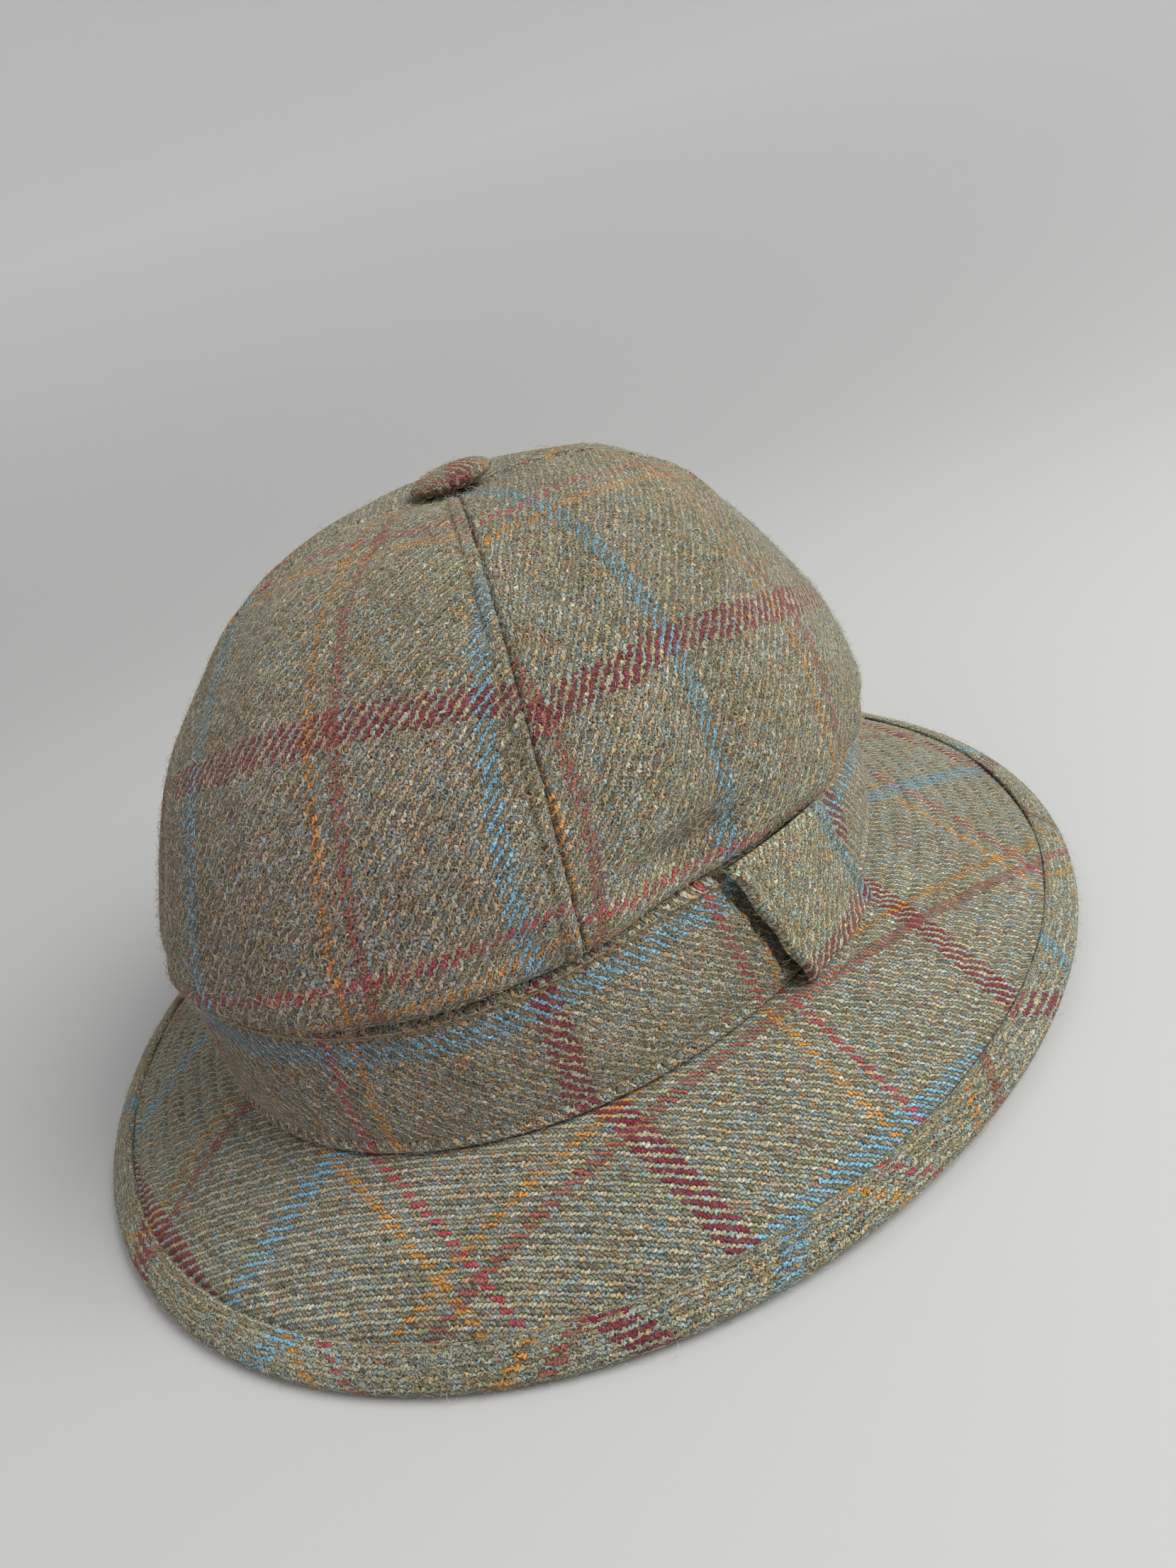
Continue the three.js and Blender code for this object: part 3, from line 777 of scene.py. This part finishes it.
threads = {}
for name, node, radius in (("crown", "crown_front", THREAD), ("band", "hat_band", 0.20),
                           ("loop", "band_loop", THREAD), ("brim", "brim", 0.17),
                           ("binding", "brim_binding", THREAD)):
    stitches = np.concatenate(paths[name])
    rng = np.random.default_rng(len(stitches))
    places = rng.uniform(0, 40, (len(stitches), 2))
    width = np.full(stitches.shape[:2], radius)
    threads[name + "_stitches"] = (many_tubes(name + "_stitches", stitches, width, 6, places), node)
    print(name, "stitches:", len(stitches))

# %% [markdown]
# ## Loose wool
# Woollen yarn sheds short curled hairs, and against a pale wall they blur the outline.
# Each hair starts inside the cloth at a seeded random place, leaves at a slant, and
# curls over: its heading turns evenly and its slant falls off along its length. It
# keeps the cloth place of its root, so it takes the colour of the yarn it came from,
# mixed half way with a pale colour as painted sheen.
# None reaches below the floor that the hat rests on.

# %% Loose wool


def hair_paths(edge, per_cm2, seed):
    """Hairs on an outer grid: paths of four stations, their radii, and their roots' cloth places."""
    rng = np.random.default_rng(seed)
    shown = edge.get("shown", slice(None))
    grid, cloth, normals = edge["outer"][:, shown], edge["cloth"][:, shown], edge["normals"][:, shown]
    du, dv = grid[1:, :-1] - grid[:-1, :-1], grid[:-1, 1:] - grid[:-1, :-1]
    area = np.linalg.norm(np.cross(du, dv), axis=-1)
    count = int(area.sum() / 100 * per_cm2)
    cell = rng.choice(area.size, count, p=(area / area.sum()).ravel())
    i, j = np.unravel_index(cell, area.shape)
    a, b = rng.uniform(0, 1, (2, count, 1))
    root = grid[i, j] + du[i, j] * a + dv[i, j] * b
    place = cloth[i, j] + (cloth[i + 1, j] - cloth[i, j]) * a + (cloth[i, j + 1] - cloth[i, j]) * b
    normal = normals[i, j]
    e1 = du[i, j] / np.linalg.norm(du[i, j], axis=-1, keepdims=True)
    e2 = np.cross(normal, e1)
    s = np.linspace(0, 1, 4)[None, :]
    heading = rng.uniform(0, 2 * np.pi, (count, 1)) + rng.normal(0, 1.6, (count, 1)) * s
    slant = rng.uniform(0.4, 1.4, (count, 1)) * (1 - 0.8 * s) - rng.uniform(0.0, 0.4, (count, 1)) * s
    length = rng.gamma(3.0, 0.60, (count, 1, 1)) + 0.8
    parts = ((np.cos(heading) * np.cos(slant), e1), (np.sin(heading) * np.cos(slant), e2),
             (np.sin(slant), normal))
    ahead = sum(amount[..., None] * axis[:, None] for amount, axis in parts)
    path = root[:, None] - normal[:, None] * 0.12 + (np.cumsum(ahead, 1) - ahead[:, :1]) * length / 4
    path[..., 2] = np.maximum(path[..., 2], 0.06)
    radius = 0.050 * (1 - 0.5 * s) * rng.uniform(0.7, 1.25, (count, 1))
    return path, radius, place


button_edge = face_of(button_points, button_points[..., :2] - APEX[:2] + np.array([30, 20]))
hairs = {}
for name, source, per_cm2, node in (
        *((panel + "_wool", panels[panel][1], per_cm2, panel) for panel, per_cm2 in
          (("crown_front", 66), ("crown_left", 62), ("crown_back", 20), ("crown_right", 20))),
        ("button_wool", button_edge, 34, "crown_button"), ("band_wool", band_edge, 26, "hat_band"),
        ("loop_wool", loop_edge, 45, "band_loop"), ("brim_wool", brim_edge, 16, "brim"),
        ("binding_wool", binding_edge, 36, "brim_binding")):
    path, radius, place = hair_paths(source, per_cm2, len(name) + len(hairs))
    hairs[name] = (many_tubes(name, path, radius, 3, place), node)
    print(name, len(path))

# %% [markdown]
# ## Node groups
# The materials share four effects, and each is built once as a node group with named
# inputs and outputs. A node's output is kept in a small class of our own, on which
# Python's operators add Math nodes, so that a recipe reads as the formula it is.

# %% Node helpers


class Wire:
    """The output of a node in a tree, with Python's operators standing for Math nodes."""

    def __init__(self, tree, socket):
        self.tree, self.socket = tree, socket

    def __add__(self, other):
        return calc("ADD", self, other)

    def __sub__(self, other):
        return calc("SUBTRACT", self, other)

    def __mul__(self, other):
        return calc("MULTIPLY", self, other)

    def __truediv__(self, other):
        return calc("DIVIDE", self, other)

    def __mod__(self, other):
        return calc("FLOORED_MODULO", self, other)

    def __pow__(self, other):
        return calc("POWER", self, other)


def plug(socket, value):
    """Link a wire to a socket, or write a constant into it."""
    if isinstance(value, Wire):
        value.tree.links.new(value.socket, socket)
    else:
        socket.default_value = value


def shader_node(kind, *values, out=0, **settings):
    """One node beside its first wire: the values go to its inputs in order, and None skips one."""
    tree = next(value.tree for value in values if isinstance(value, Wire))
    node = tree.nodes.new("ShaderNode" + kind)
    for name, setting in settings.items():
        setattr(node, name, setting)
    for socket, value in zip(node.inputs, values):
        if value is not None:
            plug(socket, value)
    return Wire(tree, node.outputs[out])


def calc(operation, *values, clamp=False):
    return shader_node("Math", *values, operation=operation, use_clamp=clamp)


def mix(kind, share, a, b, blend="MIX"):
    """One Mix node. Its inputs for floats, vectors and colours follow each other, two by two."""
    order = ("FLOAT", "VECTOR", "RGBA").index(kind)
    skipped = [None] * (1 + 2 * order)
    return shader_node("Mix", share, *skipped, a, b, out=order, data_type=kind, blend_type=blend)


def remap(value, low, high):
    """Map Range from low..high to 0..1, clamped."""
    return shader_node("MapRange", value, low, high, 0.0, 1.0)


def noise(vector, scale, detail=2.0, rough=0.5, out=0):
    """Noise Texture: output 0 is its value and output 1 its colour."""
    return shader_node("TexNoise", vector, None, scale, detail, rough, out=out)


def combine(x, y, z):
    return shader_node("CombineXYZ", x, y, z)


def paint(red, green, blue):
    """Screen colour 0 to 255 to linear: c / 12.92 below 0.04045, else ((c + 0.055) / 1.055)^2.4."""
    c = np.array([red, green, blue]) / 255
    linear = np.where(c <= 0.04045, c / 12.92, ((c + 0.055) / 1.055) ** 2.4)
    return (*[float(x) for x in linear], 1.0)


def palette(value, colours, steps="LINEAR"):
    """One Color Ramp; each colour takes a width equal to its share."""
    chosen = shader_node("ValToRGB", value)
    ramp = chosen.socket.node.color_ramp
    ramp.interpolation = steps
    place = 0.0
    for index, (share, colour) in enumerate(colours):
        stop = ramp.elements[0] if index == 0 else ramp.elements.new(min(place, 1.0))
        stop.position, stop.color = min(place, 1.0), paint(*colour)
        place += share
    while len(ramp.elements) > len(colours):
        ramp.elements.remove(ramp.elements[-1])
    return chosen


def new_group(name, inputs, outputs):
    """A node group and its input wires; a None default makes a vector. Outputs are (label, kind)."""
    tree = bpy.data.node_groups.new(name, "ShaderNodeTree")
    for label, default in inputs.items():
        kind = "NodeSocketVector" if default is None else "NodeSocketFloat"
        socket = tree.interface.new_socket(label, in_out="INPUT", socket_type=kind)
        if default is not None:
            socket.default_value = default
    for label, kind in outputs:
        tree.interface.new_socket(label, in_out="OUTPUT", socket_type="NodeSocket" + kind)
    source = tree.nodes.new("NodeGroupInput")
    return tree, {label: Wire(tree, source.outputs[label]) for label in inputs}


def give(tree, **results):
    """Link a group's results to its outputs; an underscore stands for a space in a label."""
    sink = tree.nodes.new("NodeGroupOutput")
    for label, wire in results.items():
        plug(sink.inputs[label.replace("_", " ")], wire)
    print(tree.name, "nodes:", len(tree.nodes))


def place_group(group, values):
    """A group's node, fed with the values whose labels it knows; returns its outputs by label."""
    tree = next(value.tree for value in values.values() if isinstance(value, Wire))
    node = tree.nodes.new("ShaderNodeGroup")
    node.node_tree = group
    for socket in node.inputs:
        if socket.name in values:
            plug(socket, values[socket.name])
    return {socket.name: Wire(tree, socket) for socket in node.outputs}


print("node helpers ready")

# %% [markdown]
# ### Twill weave
# In a two-and-two twill each warp yarn passes over two weft yarns and then under two,
# and its neighbour does the same one step later, which draws the diagonal. With i and j
# the warp and weft yarns at a place, the warp is on top where (i - j) mod 4 is 0 or 1.
# One visible float is two yarns long; the group says which float a place is on, how far
# along and across it, and how high the yarn stands there. The places wander a little
# first, because hand-loomed wool is never straight.

# %% Twill weave group
twill, given = new_group(
    "twill weave", {"Cloth": None, "Pitch": 0.00075, "Wander": 0.35, "Slant": 0.40},
    [(label, "Float") for label in ("Warp On Top", "Warp Yarn", "Weft Yarn", "Float Number",
                                    "Across", "Along", "Height")])
cloth, pitch = given["Cloth"], given["Pitch"]
drift = mix("VECTOR", 0.55, noise(cloth, 170.0, 1.0, out=1), noise(cloth, 900.0, 1.0, out=1))
push = shader_node("VectorMath", drift, (0.5, 0.5, 0.5), operation="SUBTRACT")
push = shader_node("VectorMath", push, None, None, pitch * given["Wander"] * 10.0, operation="SCALE")
split = shader_node("SeparateXYZ", shader_node("VectorMath", cloth, push, operation="ADD"))
u, v = split / pitch, Wire(twill, split.socket.node.outputs[1]) / pitch
i, j = calc("FLOOR", u), calc("FLOOR", v)
in_u, in_v = u - i, v - j
lift = (i - j) % 4.0
on_top = calc("LESS_THAN", lift, 1.5)
along = mix("FLOAT", on_top, (in_u + lift - 2.0) * 0.5, (in_v + 1.0 - lift) * 0.5)
number = mix("FLOAT", on_top, calc("FLOOR", (i - j - 2.0) / 4.0), calc("FLOOR", (j - i + 1.0) / 4.0))
across = mix("FLOAT", on_top, in_v, in_u) - 0.5 - (along - 0.5) * given["Slant"]
flat = across * 2.05
round_top = calc("SQRT", calc("MAXIMUM", calc("SUBTRACT", 1.0, flat * flat), 0.0))
arch = calc("SINE", along * 3.14159) ** 0.5
give(twill, Warp_On_Top=on_top, Warp_Yarn=i, Weft_Yarn=j, Float_Number=number,
     Across=across, Along=along, Height=round_top * (arch * 0.7 + 0.3))

# %% [markdown]
# ### Tweed colours
# Each yarn is a heather: fibres of many colours carded together. Every float draws one
# colour from its yarn's palette with White Noise, and finer noise along the twisted
# yarn mixes in a second. The overcheck is woven from coloured yarns, so it is a
# question about a yarn's number: is it near the stripe's middle, counted round the
# repeat?

# %% Yarn stripe group and tweed colour group
stripe, given = new_group(
    "yarn stripe", {"Yarn": 0.0, "Repeat": 109.0, "Middle": 0.0, "Half Width": 3.0}, [("Mask", "Float")])
half = given["Repeat"] * 0.5
away = calc("ABSOLUTE", (given["Yarn"] - given["Middle"] + half) % given["Repeat"] - half)
give(stripe, Mask=calc("LESS_THAN", away, given["Half Width"]))

WARP_COLOURS = [(0.14, (206, 198, 170)), (0.18, (186, 172, 130)), (0.12, (200, 156, 96)),
                (0.14, (168, 162, 134)), (0.14, (140, 168, 168)), (0.12, (150, 150, 100)),
                (0.09, (154, 116, 80)), (0.07, (116, 131, 124))]
WEFT_COLOURS = [(0.15, (192, 186, 162)), (0.16, (166, 154, 114)), (0.15, (126, 156, 158)),
                (0.14, (136, 130, 84)), (0.12, (188, 136, 80)), (0.10, (122, 94, 68)),
                (0.10, (176, 188, 182)), (0.08, (92, 92, 82))]
WARP_REPEAT, WEFT_REPEAT = 109.0, 123.0
STRIPES = [("Warp Yarn", WARP_REPEAT, 0.0, 3.2, (84, 142, 168), (158, 203, 212), 0.92),
           ("Warp Yarn", WARP_REPEAT, 53.0, 1.5, (190, 118, 34), (226, 158, 66), 0.92),
           ("Warp Yarn", WARP_REPEAT, 61.5, 1.6, (142, 54, 46), (184, 88, 68), 0.85),
           ("Weft Yarn", WEFT_REPEAT, 0.0, 4.6, (96, 22, 38), (160, 52, 70), 0.97),
           ("Weft Yarn", WEFT_REPEAT, 56.0, 1.5, (190, 118, 34), (226, 158, 66), 0.92),
           ("Weft Yarn", WEFT_REPEAT, 65.0, 1.8, (158, 44, 58), (204, 84, 90), 0.92)]

tweed, given = new_group(
    "tweed colour",
    {"Warp On Top": 0.0, "Warp Yarn": 0.0, "Weft Yarn": 0.0, "Float Number": 0.0, "Across": 0.0,
     "Along": 0.0, "Weft Shade": 0.85}, [("Colour", "Color"), ("Fibres", "Float")])
on_top, number, along = given["Warp On Top"], given["Float Number"], given["Along"]
yarn = mix("FLOAT", on_top, given["Weft Yarn"], given["Warp Yarn"])
ticket = shader_node("TexWhiteNoise", combine(yarn, number, on_top * 17.0))
strands = combine((along * 0.9 + given["Across"]) * 5.5, along * 1.7, yarn * 7.3 + number * 3.1)
fibre = remap(noise(strands, 1.0, 2.0, 0.6), 0.34, 0.66)
warp_heather, weft_heather = (
    mix("RGBA", 0.40, palette(ticket, colours, "CONSTANT"), palette(fibre, colours[::-1]))
    for colours in (WARP_COLOURS, WEFT_COLOURS))
shade = combine(given["Weft Shade"], given["Weft Shade"], given["Weft Shade"])
colour = mix("RGBA", on_top, mix("RGBA", 1.0, weft_heather, shade, "MULTIPLY"), warp_heather)
for label, repeat, middle, half_width, dark, light, strength in STRIPES:
    mask = shader_node("Group", given[label], repeat, middle, half_width, node_tree=stripe)
    facing = on_top if label == "Warp Yarn" else calc("SUBTRACT", 1.0, on_top)
    colour = mix("RGBA", mask * facing * strength, colour, mix("RGBA", fibre, paint(*dark), paint(*light)))
give(tweed, Colour=colour, Fibres=fibre)

# %% [markdown]
# ### Nap, handling and painted shade
# Finer hairs than the modelled ones lie flat on the cloth. A contour line of a noise
# field is a thin closed curl, which is what such a hair looks like from a hand's
# breadth away, so the mask is one minus the distance of the noise from its middle
# value. Between them single fibres catch and lose the light, which is a much finer
# speckle. Handling darkens and warms the cloth in patches a few centimetres wide. Low on
# the front, where the hat is picked up, a darker and redder spot is partly handling dirt
# and partly painted shade.

# %% Wool nap group, and the group for handling wear and painted shade
nap, given = new_group("wool nap", {"Cloth": None, "Width": 0.03}, [("Mask", "Float"), ("Speckle", "Float")])
cloth = given["Cloth"]
curls = [calc("SUBTRACT", 1.0, calc("ABSOLUTE", noise(cloth, scale, 1.0) - 0.5) / given["Width"], clamp=True)
         for scale in (520.0, 830.0)]
give(nap, Mask=calc("MAXIMUM", *curls) * remap(noise(cloth, 240.0, 1.0), 0.40, 0.62),
     Speckle=remap(noise(cloth, 2200.0, 2.0, 0.7), 0.36, 0.64))

WHITE = (1.0, 1.0, 1.0, 1.0)
# Painted shade and handling dirt: a darker, redder spot round this place, low on the crown's front.
HELD_AND_SHADED_AT = (0.010, -0.105, 0.074)
handling_and_shade, given = new_group("handling_and_shade", {"Place": None, "Amount": 0.5}, [("Shade", "Color")])
place = given["Place"]
worn = remap(mix("FLOAT", 0.4, noise(place, 26.0, 3.0, 0.6), noise(place, 120.0, 2.0, 0.6)), 0.38, 0.64)
# Near that place the colour is darkened and reddened, partly as handling dirt and partly as painted shade.
clear_of_dirt_and_shade = remap(shader_node("VectorMath", place, HELD_AND_SHADED_AT, out=1, operation="DISTANCE"), 0.020, 0.075)
tint = mix("RGBA", 1.0, mix("RGBA", worn, (0.70, 0.64, 0.57, 1.0), (1.10, 1.10, 1.12, 1.0)),
           mix("RGBA", clear_of_dirt_and_shade, (0.84, 0.71, 0.82, 1.0), WHITE), "MULTIPLY")
give(handling_and_shade, Shade=mix("RGBA", given["Amount"], WHITE, tint))

# %% [markdown]
# ## Materials
# Every cloth piece is the same tweed with its own values: how much paler the warp is
# than the weft, how dark the painted shade in the gaps between yarns is, how much nap,
# how deep the relief, how handled, which brings wear and, low on the front, painted
# shade, and its tone. The yarn's height feeds the Bump node and also darkens the gaps
# as painted shade, where light is lost. Wool is rough, with a faint sheen from its
# hairs at grazing angles.

# %% Cloth, wool and thread materials


def blank_material(name, roughness, sheen):
    """A rough Principled material, and the wire of its place on the flat cloth."""
    material = bpy.data.materials.new(name)
    material.use_nodes = True
    tree = material.node_tree
    shader = tree.nodes["Principled BSDF"]
    for label, value in (("Roughness", roughness), ("Specular IOR Level", 0.25), ("Sheen Weight", sheen),
                         ("Sheen Roughness", 0.35), ("Sheen Tint", paint(210, 205, 180))):
        shader.inputs[label].default_value = value
    cloth = tree.nodes.new("ShaderNodeUVMap")
    cloth.uv_map = "cloth"
    return material, shader, Wire(tree, cloth.outputs[0])


def yarn_colour(cloth, weft_shade, wander):
    weave = place_group(twill, {"Cloth": cloth, "Wander": wander})
    return weave, place_group(tweed, {**weave, "Weft Shade": weft_shade})


def tweed_material(name, weft_shade, gap_shade, nap_share, relief, wear_and_shade_share, tone, wander):
    material, shader, cloth = blank_material(name, 0.92, 0.40)
    weave, dyed = yarn_colour(cloth, weft_shade, wander)
    curls = place_group(nap, {"Cloth": cloth})
    objects = Wire(cloth.tree, cloth.tree.nodes.new("ShaderNodeTexCoord").outputs["Object"])
    # Handling wear, with painted shade low on the front, darkens the cloth's colour.
    wear_and_painted_shade = place_group(handling_and_shade, {"Place": objects, "Amount": wear_and_shade_share})
    # Painted shade: the gaps between yarns are darkened by gap_shade, and the speckle of single fibres
    # catching and losing light is painted light and shade.
    light = (weave["Height"] ** 0.8 * (1.0 - gap_shade) + gap_shade) * (curls["Speckle"] * 1.10 + 0.45)
    base = mix("RGBA", 1.0, dyed["Colour"], combine(light, light, light), "MULTIPLY")
    base = mix("RGBA", curls["Mask"] * nap_share, base, paint(206, 198, 180))
    base = mix("RGBA", 1.0, mix("RGBA", 1.0, base, wear_and_painted_shade["Shade"], "MULTIPLY"), (*tone, 1.0), "MULTIPLY")
    plug(shader.inputs["Base Color"], base)
    bump = cloth.tree.nodes.new("ShaderNodeBump")
    bump.inputs["Strength"].default_value, bump.inputs["Distance"].default_value = 1.0, relief
    plug(bump.inputs["Height"], dyed["Fibres"] * 0.22 + weave["Height"] + curls["Mask"] * 0.35)
    plug(shader.inputs["Normal"], Wire(cloth.tree, bump.outputs[0]))
    return material


def wool_material(name):
    material, shader, cloth = blank_material(name, 0.75, 0.3)
    dyed = yarn_colour(cloth, 0.95, 0.35)[1]
    # Painted sheen: the yarn colour of the hairs is mixed half way with a pale colour.
    plug(shader.inputs["Base Color"], mix("RGBA", 0.50, dyed["Colour"], paint(218, 210, 186)))
    return material


def thread_material(name, dark, light):
    material, shader, cloth = blank_material(name, 0.6, 0.15)
    plug(shader.inputs["Base Color"], mix("RGBA", noise(cloth, 300.0, 1.0), paint(*dark), paint(*light)))
    return material


finishes = {name: tweed_material(name, *values) for name, *values in (
    ("tweed_crown", 0.77, 0.04, 0.22, 0.00060, 0.75, (1.12, 1.12, 1.22), 0.5),
    ("tweed_button", 0.90, 0.06, 0.20, 0.00042, 0.5, (0.94, 0.88, 0.94), 0.5),
    ("tweed_band", 0.72, 0.04, 0.20, 0.00064, 0.6, (1.32, 1.31, 1.44), 0.5),
    ("tweed_loop", 0.78, 0.04, 0.20, 0.00060, 0.4, (1.42, 1.46, 1.53), 0.5),
    ("tweed_brim", 0.74, 0.06, 0.20, 0.00044, 0.5, (1.13, 1.19, 1.34), 0.25),
    ("tweed_binding", 0.88, 0.06, 0.22, 0.00042, 0.6, (1.08, 1.16, 1.28), 0.5))}
finishes["loose_wool"] = wool_material("loose_wool")
finishes["brown_thread"] = thread_material("brown_thread", (120, 100, 74), (176, 156, 120))
finishes["pale_thread"] = thread_material("pale_thread", (188, 180, 156), (226, 220, 202))
print("materials:", ", ".join(finishes))

# %% [markdown]
# ## Handing each piece to the frame
# Every visible piece rides the hat's one body, hides the imported node it stands for, and
# takes its finish by name from the materials. Threads keep a finish of their own.

# %% Ride and replace
cloths = {node: panel[0] for node, panel in panels.items()}
cloths.update(crown_button=button, hat_band=band, band_loop=loop, brim=brim, brim_binding=binding)
cloth_slots = {node: "tweed_crown" if node in panels else "tweed_" + node.split("_")[-1] for node in cloths}
cloth_slots["band_loop"] = "tweed_loop"
dressed = [(piece, node, cloth_slots[node]) for node, piece in cloths.items()]
dressed += [(piece, node, "loose_wool") for piece, node in hairs.values()]
dressed += [(piece, node, "pale_thread" if name == "brim_stitches" else "brown_thread")
            for name, (piece, node) in threads.items()]
for piece, node, finish in dressed:
    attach(piece, "root")
    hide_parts(node)
    not finish.endswith("thread")
    piece.data.materials.append(finishes[finish])
triangles = sum(len(piece.data.loops) - 2 * len(piece.data.polygons) for piece, _, _ in dressed)
print("pieces:", len(dressed), "triangles:", triangles)

# %% [markdown]
# ## A pale studio
# The hat stands in a shallow bowl: a flat floor that curves up into the wall, so no
# edge shows behind it. Its profile is a flat run and a quarter of an ellipse, turned
# about the middle. The floor is coloured darker than the wall as painted shade, where
# the light falls off, and the colour brightens over the first 0.3 m of height.

# %% Stage


def studio_bowl(flat=550.0, far=2200.0, high=1600.0):
    """Radius and height in mm: flat to one radius, then r = flat + run sin a, z = high (1 - cos a)."""
    a = np.linspace(0, np.pi / 2, 40)
    radius = np.concatenate([np.linspace(20, flat, 12), flat + (far - flat) * np.sin(a[1:])])
    height = np.concatenate([np.zeros(12), high * (1 - np.cos(a[1:]))])
    turns = np.linspace(0, 2 * np.pi, 129)[:-1, None]
    points = np.stack([radius * np.cos(turns), radius * np.sin(turns), height + 0 * turns], -1)
    rows, cols = points.shape[:2]
    i, j = grid_corners(rows, cols - 1)
    k = np.arange(rows)
    hub = np.stack([k * cols, ((k + 1) % rows) * cols, np.full(rows, rows * cols)], -1)
    faces = [((i % rows) * cols + j)[:, [0, 3, 2, 1]], hub]
    points = np.concatenate([points.reshape(-1, 3), [[0.0, 0.0, 0.0]]]) - [0.0, OVAL_CENTRE_Y, 0.0]
    return finish_mesh("studio_bowl", points, faces, np.zeros((sum(part.size for part in faces), 2)))


bowl = studio_bowl()
wall = bpy.data.materials.new("studio_paint")
wall.use_nodes = True
wall_shader = wall.node_tree.nodes["Principled BSDF"]
objects = Wire(wall.node_tree, wall.node_tree.nodes.new("ShaderNodeTexCoord").outputs["Object"])
# Painted shade: the floor's colour is darker, rising to the wall's paler colour by 0.3 m up.
rise = remap(shader_node("SeparateXYZ", objects, out=2), 0.0, 0.30)
plug(wall_shader.inputs["Base Color"], mix("RGBA", rise, (0.50, 0.495, 0.49, 1.0), (0.70, 0.695, 0.69, 1.0)))
wall_shader.inputs["Roughness"].default_value = 0.9
bowl.data.materials.append(wall)
print("stage faces:", len(bowl.data.polygons))

# %% [markdown]
# ## Light
# One wide soft light stands high to the right, as a window would, a weaker one fills
# from the left, and the pale surroundings give back the rest. An area light shines down
# its own -Z axis, so that axis is pointed at the hat.

# %% Lights and surroundings


def soft_light(name, place, width, watts, colour):
    light = bpy.data.lights.new(name, "AREA")
    light.shape, light.size, light.energy, light.color = "DISK", width, watts, colour
    lamp = bpy.data.objects.new(name, light)
    SCENE.collection.objects.link(lamp)
    lamp.location = place
    lamp.rotation_euler = (Vector((0, 0, 0.06)) - Vector(place)).to_track_quat("-Z", "Y").to_euler()


soft_light("window", (0.90, 0.15, 0.95), 0.9, 18.5, (0.98, 1.0, 0.97))
soft_light("fill", (-0.5, -1.1, 0.8), 1.2, 1.8, (1.0, 0.86, 0.88))
world = bpy.data.worlds.new("surroundings")
world.use_nodes = True
world.node_tree.nodes["Background"].inputs["Color"].default_value = (0.86, 0.88, 0.90, 1.0)
world.node_tree.nodes["Background"].inputs["Strength"].default_value = 0.60
SCENE.world = world
SCENE.view_settings.view_transform = "Standard"

# %% [markdown]
# ## Camera
# The camera looks down at the hat from the front left, a hand's breadth above the
# crown's height, and is rolled a little. Its three axes are built from the direction it
# looks back along and the direction of its own up.

# %% Camera
back = Vector((0.54668, -0.71706, 0.43240)).normalized()
up = Vector((-0.03224, 0.49799, 0.86658))
right = up.cross(back).normalized()
up = back.cross(right).normalized()
camera = bpy.data.objects.new("camera", bpy.data.cameras.new("camera"))
SCENE.collection.objects.link(camera)
place = Matrix.Translation((0.19220, -0.23290, 0.19692))
camera.matrix_world = place @ Matrix((right, up, back)).transposed().to_4x4()
camera.data.lens = 27.02
camera.data.clip_start = 0.01
SCENE.camera = camera
print("camera at", tuple(round(x, 3) for x in camera.matrix_world.translation))
